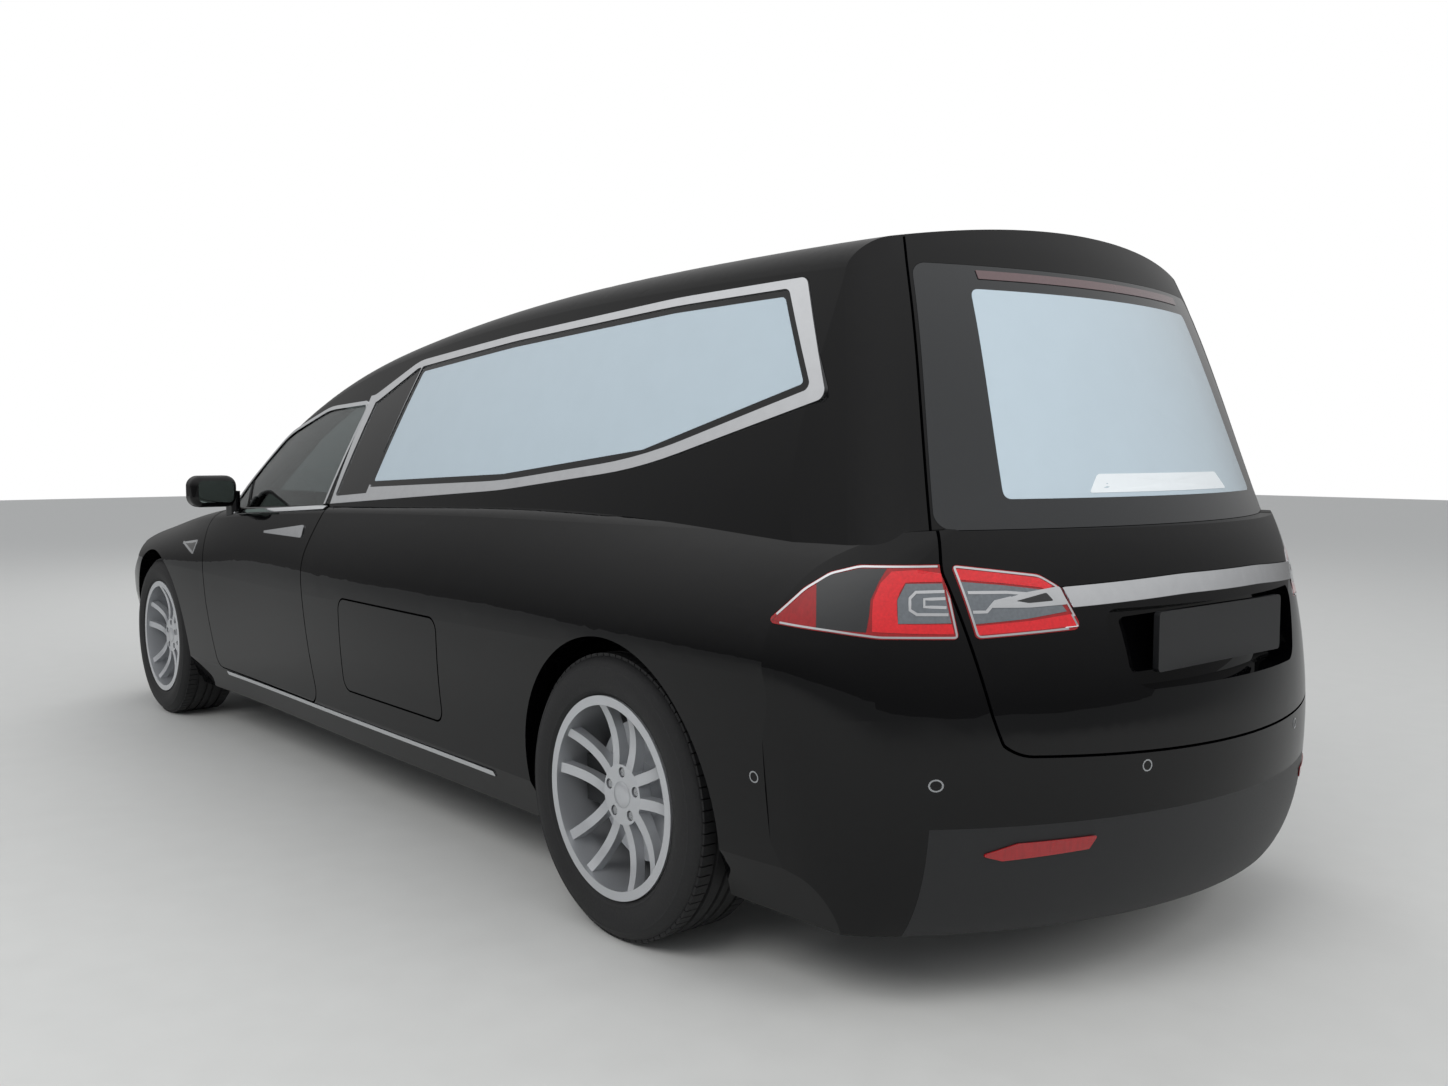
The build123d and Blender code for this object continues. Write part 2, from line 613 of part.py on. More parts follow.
probe = common(probe_box, recess_floor)
plate_x = probe.bounding_box().min.X
with BuildPart() as plate:
    with Locations((plate_x - PLATE_THICK / 2 - SEAT_GAP, 0, PLATE_Z)):
        Box(PLATE_THICK, PLATE_WIDTH, PLATE_HEIGHT)
    fillet(plate.edges().filter_by(Axis.X), PLATE_CORNER)
save(plate.part, "plate_holder")

# Body halves of the tail lamps


def lamp_core(depth):
    """Body behind a lamp on the corner, at a depth below the surface."""
    return common(corner_prism(LAMP_BODY, 2 * SHUT_GAP), tail_form(depth), lower_body(depth))


lamp_body = without(common(corner_prism(LAMP_BODY), outer_lower), lamp_core(LAMP_DEPTH), gate_space)
lamp_body_seat = without(corner_prism(LAMP_BODY, SEAT_GAP), lamp_core(LAMP_DEPTH + SEAT_GAP))
save(both_sides(lamp_body), "tail_lamps_body")

# Fixed panels: the shell split where they meet, then cut for what opens or sits in them


def split_off(rest, region):
    """The share of a solid inside a region, and what is left."""
    return common(rest, region), without(rest, region)


rear_rows = [(REAR_AXLE + x, z, 0) for x, z in BUMPER_REAR]
front_rows = [(FRONT_AXLE + x, z, 0) for x, z in BUMPER_FRONT]
roof_rows = [(x, y, 0) for y, x in ROOF_PLAN] + [(x, -y, 0) for y, x in reversed(ROOF_PLAN)]
front_region = block(FIREWALL, NOSE + END_MARGIN, -HALF_WIDTH, HALF_WIDTH, 0, REACH)
valance_region = block(TAIL - END_MARGIN, VALANCE_FRONT, -HALF_WIDTH, HALF_WIDTH, 0, VALANCE_TOP)
bay_region = block(FIREWALL, NOSE, -BAY_HALF, BAY_HALF, 0, REACH)
front_end, fixed = split_off(shell, front_region)
roof, fixed = split_off(fixed, prism(Plane.XY.offset(ROOF_SPLIT), roof_rows, REACH))
floor_pan, fixed = split_off(fixed, block(TAIL, FIREWALL, -FLOOR_HALF, FLOOR_HALF, 0, FLOOR_SPLIT))
rear_bumper, fixed = split_off(fixed, prism(side_plane(HALF_WIDTH), rear_rows, 2 * HALF_WIDTH))
side_left = common(fixed, block(TAIL - END_MARGIN, FIREWALL, SIDE_INNER, HALF_WIDTH, 0, REACH))
rear_valance, rear_bumper = split_off(without(rear_bumper, gate_space), valance_region)
front_bumper, front_end = split_off(front_end, prism(side_plane(HALF_WIDTH), front_rows, 2 * HALF_WIDTH))
front_structure = without(common(front_end, bay_region), bonnet_pocket, screen_recess, screen_opening)
fender_region = block(FIREWALL, NOSE, BAY_HALF, HALF_WIDTH, 0, REACH)
fender = without(common(front_end, fender_region), bonnet_pocket, screen_recess, screen_opening)
roof = without(roof, screen_recess, screen_opening, gate_space)
door_holes = (side_prism(DOOR, B_PILLAR, SHUT_GAP), side_prism(DOOR_GLASS, B_PILLAR, SHUT_GAP))
side_left = without(side_left, *door_holes, hatch_pocket, side_recess, side_opening, lamp_body_seat)
side_left = without(side_left, screen_recess, screen_opening, gate_space)

# Headlamps and the lower intake, set into the nose
headlamp = without(common(front_prism(HEADLAMP), outer_lower), nose_form(LAMP_DEPTH))
headlamp_seat = without(front_prism(HEADLAMP, SEAT_GAP), nose_form(LAMP_DEPTH + SEAT_GAP))
intake_rows = half_to_full(INTAKE)
intake_shape = common(front_prism(intake_rows), nose_form(INTAKE_SET_BACK))
intake_gaps = []
for row in range(SLAT_COUNT + 1):
    low = SLAT_START + row * SLAT_PITCH
    intake_gaps.append(common(front_prism(intake_rows, -INTAKE_RIM),
                              block(0, NOSE, -HALF_WIDTH, HALF_WIDTH, low, low + SLAT_PITCH - SLAT_THICK)))
intake = without(intake_shape, nose_form(INTAKE_DEPTH), *intake_gaps)
intake_seat = without(front_prism(intake_rows, SEAT_GAP), nose_form(INTAKE_DEPTH + SEAT_GAP))
lamp_seats = (headlamp_seat, mirrored(headlamp_seat))
save(both_sides(headlamp), "headlamps")
save(intake, "front_intake")
save(without(front_bumper, bonnet_pocket, intake_seat, *lamp_seats), "front_bumper")
save(both_sides(without(fender, headlamp_seat)), "front_fenders")
save(front_structure, "front_structure")
save(rear_bumper, "rear_bumper")
save(rear_valance, "rear_valance")
save(roof, "roof")
save(floor_pan, "floor_pan")
save(side_left, "side_frame_left")
save(mirrored(side_left), "side_frame_right")

# Bright strips and reflectors that lie on the panels
proud_body = lower_body(-TRIM_PROUD, 0, -TRIM_PROUD)
bare_body = lower_body(-SEAT_GAP, 0, -SEAT_GAP)
proud_roof = greenhouse(-TRIM_PROUD, -TRIM_PROUD)
bare_roof = greenhouse(-SEAT_GAP, -SEAT_GAP)
arch_shape = without(side_prism(DOOR_GLASS, B_PILLAR, SHUT_GAP + STRIP_WIDTH),
                     side_prism(DOOR_GLASS, B_PILLAR, SHUT_GAP), side_prism(DOOR, B_PILLAR, SHUT_GAP),
                     side_prism(WINDOW_FRAME, REAR_AXLE, SEAT_GAP))
door_arch = without(common(arch_shape, proud_roof), bare_roof, bare_body)
sill_strip = without(common(side_prism(SILL_STRIP, REAR_AXLE), proud_body), bare_body)
save(both_sides(gathered(window_frame, door_arch, sill_strip)), "window_frames")
door_strips = [common(side_prism(rows, B_PILLAR), proud_body) for rows in (HANDLE, BELT_STRIP)]
door_trim = gathered(*[without(strip, bare_body, bare_roof) for strip in door_strips])
save(door_trim, "door_trim_left")
save(mirrored(door_trim), "door_trim_right")
reflector = without(common(rear_prism(REFLECTOR), tail_form(-TRIM_PROUD)), tail_form(-SEAT_GAP))
save(both_sides(reflector), "reflectors")

# Door mirrors: rounded housing on a foot that stands on the door's shoulder
with BuildPart() as mirror_left:
    with Locations((B_PILLAR + MIRROR_X, MIRROR_Y, MIRROR_Z)):
        Box(MIRROR_DEPTH, MIRROR_WIDTH, MIRROR_HEIGHT)
    fillet(mirror_left.edges(), MIRROR_ROUND)
    with BuildSketch(Plane.XY.offset(MIRROR_Z)):
        with Locations((B_PILLAR + MIRROR_X, MIRROR_FOOT_Y)):
            RectangleRounded(MIRROR_FOOT_LENGTH, MIRROR_FOOT_WIDTH, MIRROR_FOOT_WIDTH / 2 - 1)
    extrude(amount=-MIRROR_FOOT_HEIGHT)
    add(bare_body, mode=Mode.SUBTRACT, clean=False)
    add(bare_roof, mode=Mode.SUBTRACT, clean=False)
save(mirror_left.part, "mirror_left")
save(mirrored(mirror_left.part), "mirror_right")

# Wheel about the origin, its outer side towards +Y: tyre, rim with paired spokes, brake disc
with BuildPart() as tyre:
    with BuildSketch() as tyre_profile:
        with BuildLine():
            Line((RIM_RADIUS + SEAT_GAP, -BEAD_HALF), (RIM_RADIUS + SEAT_GAP, BEAD_HALF))
            for side in (1, -1):
                bead = (RIM_RADIUS + SEAT_GAP, side * BEAD_HALF)
                bulge = ((RIM_RADIUS + TYRE_RADIUS) / 2, side * TYRE_WIDTH / 2)
                shoulder = (TYRE_RADIUS - SHOULDER_DROP, side * (TREAD_HALF + SHOULDER_DROP))
                flange = (RIM_RADIUS + RIM_FLANGE + SEAT_GAP, side * BEAD_HALF)
                Line(bead, flange)
                ThreePointArc(flange, bulge, shoulder)
                Line(shoulder, (TYRE_RADIUS, side * TREAD_HALF))
            Line((TYRE_RADIUS, -TREAD_HALF), (TYRE_RADIUS, TREAD_HALF))
        make_face()
    revolve(axis=Axis.Y)
with BuildPart() as spokes:
    with BuildSketch():
        with BuildLine():
            Polyline((HUB_INNER, HUB_BACK), (HUB_INNER, HUB_FRONT), (HUB_RADIUS, HUB_FRONT))
            ThreePointArc((HUB_RADIUS, HUB_FRONT), SPOKE_FRONT_MIDDLE, SPOKE_FRONT_END)
            Line(SPOKE_FRONT_END, SPOKE_BACK_END)
            ThreePointArc(SPOKE_BACK_END, SPOKE_BACK_MIDDLE, (HUB_RADIUS, HUB_BACK))
            Line((HUB_RADIUS, HUB_BACK), (HUB_INNER, HUB_BACK))
        make_face()
    revolve(axis=Axis.Y)
    with BuildSketch(side_plane(RIM_WIDTH)):
        Circle(HUB_RADIUS)
        with PolarLocations(0, SPOKE_PAIRS, start_angle=90):
            for inner, outer in SPOKE_EDGES:
                Polygon((HUB_INNER, inner[0]), (HUB_INNER, inner[1]), (RIM_RADIUS, outer[1]),
                        (RIM_RADIUS, outer[0]), align=None)
    extrude(amount=2 * RIM_WIDTH, mode=Mode.INTERSECT)
with BuildPart() as rim:
    with BuildSketch():
        with BuildLine():
            Polyline(
                (RIM_RADIUS - RIM_WALL, -RIM_WIDTH / 2), (RIM_RADIUS + RIM_FLANGE, -RIM_WIDTH / 2),
                (RIM_RADIUS + RIM_FLANGE, -BEAD_HALF - SEAT_GAP), (RIM_RADIUS, -BEAD_HALF - SEAT_GAP),
                (RIM_RADIUS, BEAD_HALF + SEAT_GAP), (RIM_RADIUS + RIM_FLANGE, BEAD_HALF + SEAT_GAP),
                (RIM_RADIUS + RIM_FLANGE, RIM_WIDTH / 2), (RIM_RADIUS - RIM_WALL, RIM_WIDTH / 2),
                close=True,
            )
        make_face()
    revolve(axis=Axis.Y)
    add(spokes.part)
    with BuildSketch(side_plane(HUB_FRONT)):
        with PolarLocations(LUG_CIRCLE / 2, LUG_COUNT, start_angle=90):
            Circle(LUG_RADIUS)
    extrude(amount=LUG_DEPTH, mode=Mode.SUBTRACT)
with BuildPart() as disc:
    with BuildSketch(side_plane(HUB_BACK - SEAT_GAP)):
        Circle(HUB_RADIUS)
    extrude(amount=HUB_BACK - SEAT_GAP - DISC_INNER)
    with BuildSketch(side_plane(DISC_OUTER)):
        Circle(DISC_RADIUS)
    extrude(amount=DISC_OUTER - DISC_INNER)
for place, x, track in (("front", FRONT_AXLE, FRONT_TRACK), ("rear", REAR_AXLE, REAR_TRACK)):
    for piece, name in ((tyre.part, "tyre"), (together(rim.part, disc.part), "rim")):
        with BuildPart() as wheel:
            with Locations((x, track / 2, TYRE_RADIUS)):
                add(piece)
        save(wheel.part, f"{name}_{place}_left")
        save(mirrored(wheel.part), f"{name}_{place}_right")


def upright(reach, turn):
    """Hub carrier with stub and caliper, about a wheel's centre, the caliper behind (1) or ahead (-1)."""
    inner = DISC_INNER - BRAKE_GAP
    outer = DISC_OUTER + BRAKE_GAP
    low, high = sorted((-turn * CALIPER_FAR, -turn * CALIPER_NEAR))
    web_low, web_high = sorted((-turn * CALIPER_NEAR, 0))
    with BuildPart() as carrier:
        add(block(low, high, inner - CALIPER_WALL, outer + CALIPER_WALL, -CALIPER_HALF, CALIPER_HALF))
        add(cylinder_across(0, 0, DISC_RADIUS + BRAKE_GAP, inner, outer), mode=Mode.SUBTRACT)
        add(block(web_low, web_high, inner - CALIPER_WALL, inner, -WEB_HALF, WEB_HALF))
        add(cylinder_across(0, 0, CARRIER_RADIUS, -reach, inner))
        add(cylinder_across(0, 0, STUB_RADIUS, inner, DISC_INNER - SEAT_GAP))
    return carrier.part


def post(x, y, radius, low, high):
    """Upright cylinder."""
    with BuildPart() as solid:
        with BuildSketch(Plane.XY.offset(low)):
            with Locations((x, y)):
                Circle(radius)
        extrude(amount=high - low)
    return solid.part


# Front knuckles, which steer about the kingpins, and the arms and dampers that carry them
kingpin_set = FRONT_TRACK / 2 - KINGPIN_Y
with BuildPart() as knuckle:
    with Locations((FRONT_AXLE, FRONT_TRACK / 2, TYRE_RADIUS)):
        add(upright(kingpin_set + CARRIER_BACK, 1))
    add(post(FRONT_AXLE, KINGPIN_Y, KINGPIN_RADIUS, TYRE_RADIUS - KINGPIN_HALF, TYRE_RADIUS + KINGPIN_HALF))
save(knuckle.part, "knuckle_left")
save(mirrored(knuckle.part), "knuckle_right")
arm_root = WELL_INNER_FRONT + SEAT_GAP
with BuildPart() as front_arm:
    with BuildSketch(Plane.XY.offset(TYRE_RADIUS - KINGPIN_HALF - SEAT_GAP - ARM_THICK)):
        with Locations((FRONT_AXLE, KINGPIN_Y)):
            Circle(ARM_END)
        Polygon((FRONT_AXLE - ARM_SPREAD, arm_root), (FRONT_AXLE + ARM_SPREAD, arm_root),
                (FRONT_AXLE + ARM_END, KINGPIN_Y), (FRONT_AXLE - ARM_END, KINGPIN_Y), align=None)
    extrude(amount=ARM_THICK)
    damper_foot = TYRE_RADIUS - KINGPIN_HALF - ARM_THICK
    add(post(FRONT_AXLE - DAMPER_X, DAMPER_Y, DAMPER_RADIUS, damper_foot, DAMPER_TOP))
with BuildPart() as upper_arm:
    with BuildSketch(Plane.XY.offset(TYRE_RADIUS + KINGPIN_HALF + SEAT_GAP)):
        with Locations((FRONT_AXLE, KINGPIN_Y)):
            Circle(KINGPIN_RADIUS)
        Polygon((FRONT_AXLE - KINGPIN_RADIUS, arm_root), (FRONT_AXLE + KINGPIN_RADIUS, arm_root),
                (FRONT_AXLE + KINGPIN_RADIUS, KINGPIN_Y), (FRONT_AXLE - KINGPIN_RADIUS, KINGPIN_Y),
                align=None)
    extrude(amount=ARM_THICK)
save(both_sides(together(front_arm.part, upper_arm.part)), "front_suspension")

# Rear knuckles with their cross arms, which reach the inner walls of the wells
rear_root = WELL_INNER_REAR + SEAT_GAP
rear_centre = REAR_TRACK / 2
rear_inner = rear_centre - REAR_CARRIER
arm_high = REAR_ARM_DROP + ARM_THICK
with BuildPart() as rear_knuckle:
    with Locations((REAR_AXLE, rear_centre, TYRE_RADIUS)):
        add(upright(REAR_CARRIER, -1))
    for low, high in ((-arm_high, -REAR_ARM_DROP), (REAR_ARM_DROP, arm_high)):
        add(block(REAR_AXLE - ARM_END, REAR_AXLE + ARM_END, rear_root, rear_inner + ARM_END,
                  TYRE_RADIUS + low, TYRE_RADIUS + high))
    add(block(REAR_AXLE - ARM_END, REAR_AXLE + ARM_END, rear_inner, rear_inner + ARM_END,
              TYRE_RADIUS - REAR_ARM_DROP, TYRE_RADIUS + REAR_ARM_DROP))
save(both_sides(rear_knuckle.part), "rear_knuckles")

# Heavy masses: the drive unit under the bonnet and the battery under the floor
with BuildPart() as front_drive:
    with Locations((FRONT_AXLE, 0, CABIN_FLOOR + DRIVE_HEIGHT / 2)):
        Box(DRIVE_LENGTH, DRIVE_WIDTH, DRIVE_HEIGHT)
    fillet(front_drive.edges(), DRIVE_ROUND)
save(front_drive.part, "front_drive")
with BuildPart() as battery:
    add(block(REAR_AXLE + BATTERY_REAR, FIREWALL - BATTERY_FRONT, -BATTERY_HALF, BATTERY_HALF,
              SILL_Z - SEAT_GAP - BATTERY_THICK, SILL_Z - SEAT_GAP))
    fillet(battery.edges().filter_by(Axis.Z), BATTERY_CORNER)
save(battery.part, "battery_pack")

# Dashboard with the steering column's cover, steering wheel, seats
column_axis = (cos(COLUMN_TILT), 0, -sin(COLUMN_TILT))
column = Plane(origin=(B_PILLAR + WHEEL_X, SEAT_Y, WHEEL_Z), x_dir=(0, 1, 0), z_dir=column_axis)
with BuildPart() as dashboard:
    add(prism(side_plane(DASH_HALF), [(FIREWALL + x, z, r) for x, z, r in DASH], 2 * DASH_HALF))
    with BuildSketch(column.offset(COLUMN_START)):
        Circle(COLUMN_RADIUS)
    extrude(amount=COLUMN_LENGTH)
save(dashboard.part, "dashboard")
with BuildPart() as steering_wheel:
    with BuildSketch(column):
        Circle(WHEEL_HUB)
    extrude(amount=COLUMN_START - SEAT_GAP)
    with BuildSketch(column.offset(-WHEEL_GRIP / 2)):
        for turn in (0, 180, 270):
            with PolarLocations(0, 1, start_angle=turn):
                Polygon((0, -WHEEL_GRIP), (0, WHEEL_GRIP), (WHEEL_RADIUS, WHEEL_GRIP),
                        (WHEEL_RADIUS, -WHEEL_GRIP), align=None)
    extrude(amount=WHEEL_GRIP)
    ring = Plane(origin=column.origin, x_dir=column.x_dir, z_dir=column.y_dir)
    with BuildSketch(ring):
        with Locations((WHEEL_RADIUS, 0)):
            Circle(WHEEL_GRIP)
    revolve(axis=Axis(column.origin, column.z_dir))
save(steering_wheel.part, "steering_wheel")
seat_rows = [(B_PILLAR + x, z, r) for x, z, r in SEAT]
save(both_sides(prism(side_plane(SEAT_Y + SEAT_WIDTH / 2), seat_rows, SEAT_WIDTH)), "seats")

# Load deck on its skirts, with holes for bier pins
deck_rear = TAIL + DECK_REAR
deck_front = B_PILLAR - DECK_FRONT
with BuildPart() as load_deck:
    add(block(deck_rear, deck_front, -DECK_HALF, DECK_HALF, DECK_TOP - DECK_THICK, DECK_TOP))
    for side in (1, -1):
        low, high = sorted((side * (DECK_HALF - DECK_SKIRT), side * DECK_HALF))
        add(block(deck_rear, deck_front, low, high, CABIN_FLOOR, DECK_TOP - DECK_THICK))
    with Locations(*[(REAR_AXLE + x, side * PIN_Y, DECK_TOP) for x in PIN_X for side in (1, -1)]):
        Hole(PIN_RADIUS, DECK_THICK)
save(load_deck.part, "load_deck")
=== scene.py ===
"""Looks of the hearse: paint, glass, bright trim, lamps, tyres, wheels, seats, floor, light and camera.

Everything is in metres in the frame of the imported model: X forwards, Y to the left, Z up.
"""

import json
import logging
import math
from dataclasses import dataclass
from enum import Enum
from typing import Any, Sequence

import bmesh
import bpy
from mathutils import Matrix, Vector
from mathutils.bvhtree import BVHTree

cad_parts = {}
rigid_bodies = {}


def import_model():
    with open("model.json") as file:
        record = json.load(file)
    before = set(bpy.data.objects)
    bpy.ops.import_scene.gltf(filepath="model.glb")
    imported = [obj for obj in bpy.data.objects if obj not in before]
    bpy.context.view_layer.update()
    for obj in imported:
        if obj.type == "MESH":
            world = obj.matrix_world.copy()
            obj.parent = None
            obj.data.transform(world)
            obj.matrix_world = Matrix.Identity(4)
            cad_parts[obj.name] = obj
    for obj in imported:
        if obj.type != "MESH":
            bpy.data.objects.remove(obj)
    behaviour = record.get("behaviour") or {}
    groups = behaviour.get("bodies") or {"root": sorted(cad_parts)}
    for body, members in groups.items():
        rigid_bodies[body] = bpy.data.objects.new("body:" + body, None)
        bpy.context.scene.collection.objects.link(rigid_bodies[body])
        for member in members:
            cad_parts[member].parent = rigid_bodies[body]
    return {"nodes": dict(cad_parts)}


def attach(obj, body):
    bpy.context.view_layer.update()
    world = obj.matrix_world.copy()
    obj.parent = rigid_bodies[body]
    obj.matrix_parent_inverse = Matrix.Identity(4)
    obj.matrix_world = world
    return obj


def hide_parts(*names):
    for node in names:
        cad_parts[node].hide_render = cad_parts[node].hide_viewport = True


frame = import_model()
LOG = logging.getLogger("hearse")
Point = tuple[float, float, float]
Flat = tuple[float, float]
MM = 0.001
FRONT_AXLE = 1.865
REAR_AXLE = -1.685
B_PILLAR = 0.115
COAT_ROUGHNESS = 0.015
GLOSS_SPREAD = 0.15


class Side(Enum):
    """Left or right of the car, as the sign of Y."""

    LEFT = 1
    RIGHT = -1


class View(Enum):
    """The way that a flat outline is thrown onto a panel: the rays' direction in plan."""

    REAR = (1.0, 0.0)
    FRONT = (-1.0, 0.0)
    LEFT = (0.0, -1.0)
    RIGHT = (0.0, 1.0)
    LEFT_CORNER = (math.sqrt(0.5), -math.sqrt(0.5))
    RIGHT_CORNER = (math.sqrt(0.5), math.sqrt(0.5))


def linear(hex_colour: str) -> tuple[float, float, float, float]:
    """Turns an sRGB hex colour into linear RGBA.

    Args:
        hex_colour: six hex digits.

    Returns:
        Linear red, green, blue and an alpha of 1.
    """
    values = [int(hex_colour[i:i + 2], 16) / 255 for i in (0, 2, 4)]
    red, green, blue = [v / 12.92 if v <= 0.04045 else ((v + 0.055) / 1.055) ** 2.4 for v in values]
    return (red, green, blue, 1.0)


def add_node(tree: Any, kind: str, settings: dict[Any, Any] | None = None,
             links: dict[Any, Any] | None = None) -> Any:
    """Adds a node with its settings and links.

    Args:
        tree: node tree that gets the node.
        kind: Blender's type name of the node.
        settings: properties, or values of inputs by name or number.
        links: sockets to link to inputs, by name or number.

    Returns:
        The new node.
    """
    node = tree.nodes.new(kind)
    for key, value in (settings or {}).items():
        if isinstance(key, str) and hasattr(node, key):
            setattr(node, key, value)
        else:
            node.inputs[key].default_value = value
    for key, socket in (links or {}).items():
        tree.links.new(socket, node.inputs[key])
    return node


@dataclass(frozen=True)
class Finish:
    """A surface finish: a principled shader with grain in its colour, gloss and height."""

    name: str
    colour: str
    roughness: float
    metallic: float = 0.0
    coat: float = 0.0
    specular: float = 0.5
    grain_mm: float = 4.0
    grain_mix: float = 0.06
    bump: float = 0.0
    stretch: Point = (1.0, 1.0, 1.0)
    transmission: float = 0.0
    ior: float = 1.5

    def build(self) -> Any:
        """Makes the material, or gives the one that was made before.

        Returns:
            The material.
        """
        if self.name in bpy.data.materials:
            return bpy.data.materials[self.name]
        material = bpy.data.materials.new(self.name)
        material.use_nodes = True
        tree = material.node_tree
        shader = tree.nodes["Principled BSDF"]
        fixed = {"Metallic": self.metallic, "IOR": self.ior, "Coat Weight": self.coat,
                 "Coat Roughness": COAT_ROUGHNESS, "Specular IOR Level": self.specular,
                 "Transmission Weight": self.transmission}
        for socket, value in fixed.items():
            shader.inputs[socket].default_value = value
        place = add_node(tree, "ShaderNodeTexCoord")
        scaled = add_node(tree, "ShaderNodeVectorMath", {"operation": "MULTIPLY", 1: self.stretch},
                          {0: place.outputs["Object"]})
        noise = add_node(tree, "ShaderNodeTexNoise", {"Scale": 1.0 / (self.grain_mm * MM), "Detail": 4.0},
                         {"Vector": scaled.outputs[0]})
        base = linear(self.colour)
        dark = tuple(c * (1 - self.grain_mix) for c in base[:3]) + (1.0,)
        light = tuple(min(1.0, c * (1 + self.grain_mix)) for c in base[:3]) + (1.0,)
        tint = add_node(tree, "ShaderNodeMix", {"data_type": "RGBA", 6: dark, 7: light},
                        {0: noise.outputs["Fac"]})
        tree.links.new(tint.outputs[2], shader.inputs["Base Color"])
        gloss = add_node(tree, "ShaderNodeMapRange", {
            "To Min": self.roughness * (1 - GLOSS_SPREAD),
            "To Max": min(1.0, self.roughness * (1 + GLOSS_SPREAD))},
            {"Value": noise.outputs["Fac"]})
        tree.links.new(gloss.outputs["Result"], shader.inputs["Roughness"])
        if self.bump:
            height = add_node(tree, "ShaderNodeBump", {
                "Strength": self.bump, "Distance": self.grain_mm * MM}, {"Height": noise.outputs["Fac"]})
            tree.links.new(height.outputs["Normal"], shader.inputs["Normal"])
        return material


# Baked enamel under clear lacquer: deep black with a wet gloss
PAINT = Finish("black_lacquered_enamel", "040405", 0.4, coat=0.6, specular=0.0, grain_mm=9.0)
# Polished ABS: flat black, sharp reflections
PIANO = Finish("polished_black_abs", "060607", 0.1, grain_mm=12.0)
# Polypropylene with a spark-eroded grain: soft grey highlights
SATIN = Finish("grained_polypropylene", "121315", 0.5, grain_mm=2.5, bump=0.1)
# Chromium plate on zinc: mirror with a cool tint
CHROME = Finish("chromium_plate", "e9ebee", 0.1, metallic=1.0, grain_mm=30.0)
# Cast alloy under silver lacquer: bright, slightly soft reflections
ALLOY = Finish("silver_lacquered_alloy", "c3c5c8", 0.34, metallic=0.7, coat=0.4, grain_mm=3.0, bump=0.01)
# Turned steel: grey mirror with soft streaks
STEEL = Finish("zinc_plated_steel", "a9abae", 0.28, metallic=1.0, grain_mm=4.0)
# Sand-cast iron: rough dark grey
IRON = Finish("sand_cast_iron", "3a3b3d", 0.7, metallic=0.6, grain_mm=5.0, bump=0.2)
# Vulcanised rubber: dull black with a dusty bloom
RUBBER = Finish("vulcanised_rubber", "19191a", 0.7, grain_mm=6.0, grain_mix=0.2, bump=0.12)
# Float glass: neutral, sharp gloss
CLEAR = Finish("float_glass", "b9c4c4", 0.02, grain_mm=60.0, transmission=1.0, ior=1.45)
# Laminated glass backed with a frosted film: pale grey-blue, glossy outside
FROST = Finish("frosted_laminated_glass", "b3c2cb", 0.1, coat=0.6, grain_mm=90.0, grain_mix=0.03)
# Fired ceramic frit on the edge of glass: flat black under gloss
FRIT = Finish("black_ceramic_frit", "0b0c0d", 0.12, grain_mm=1.5, grain_mix=0.2)
# Tinted laminated edge: dark grey under gloss
SHADE = Finish("grey_tinted_glass", "14171a", 0.08, coat=0.4, grain_mm=40.0)
# Opal vinyl film behind glass: even white
OPAL = Finish("opal_vinyl_film", "e4e9eb", 0.3, coat=0.3, grain_mm=20.0, grain_mix=0.02)
# Moulded red acrylic with upright flutes: saturated, wet gloss
RED = Finish("red_acrylic_lens", "8e0a10", 0.12, coat=0.6, grain_mm=5.0, grain_mix=0.35,
             stretch=(1.0, 1.0, 0.1))
# Red acrylic light guide with fine optics: its own red, brightened to scarlet as a painted glow of light
# through it, as if lit
RED_GUIDE_PAINTED_GLOW = Finish("scarlet_acrylic_optics", "c81a22", 0.14, coat=0.7, grain_mm=6.0, grain_mix=0.3)
# Smoked red acrylic: grey-pink, unlit
DUSK = Finish("smoked_red_acrylic_lens", "5b4648", 0.12, coat=0.6, grain_mm=8.0, grain_mix=0.15)
# Aluminised bowl under smoked acrylic: dull silver
BOWL = Finish("aluminised_lamp_bowl", "6d7277", 0.22, metallic=0.4, coat=0.8, grain_mm=7.0, grain_mix=0.25)
# Smoked acrylic: nearly black under gloss
SMOKE = Finish("smoked_acrylic_lens", "17191b", 0.08, coat=1.0, grain_mm=12.0, grain_mix=0.2)
# Clear polycarbonate over a silvered bowl: pale grey sparkle
LAMP = Finish("silvered_polycarbonate_lens", "aab2b8", 0.16, metallic=0.5, coat=1.0, grain_mm=8.0,
              grain_mix=0.2, bump=0.04)
# Silvered mirror glass: grey-green mirror
MIRROR = Finish("silvered_mirror_glass", "8f9b96", 0.03, metallic=1.0, grain_mm=60.0)
# Dyed cowhide: fine pebble
LEATHER = Finish("dyed_cowhide", "1d1d20", 0.5, grain_mm=2.2, grain_mix=0.18, bump=0.25)
# Lacquered oak: warm brown with long streaks
OAK = Finish("lacquered_oak", "6d4a2c", 0.35, coat=0.4, grain_mm=14.0, grain_mix=0.3,
             stretch=(0.08, 1.0, 1.0))
# Sealed concrete: pale grey, faintly clouded
CONCRETE = Finish("sealed_concrete", "cfcfcc", 0.6, grain_mm=120.0, grain_mix=0.04)

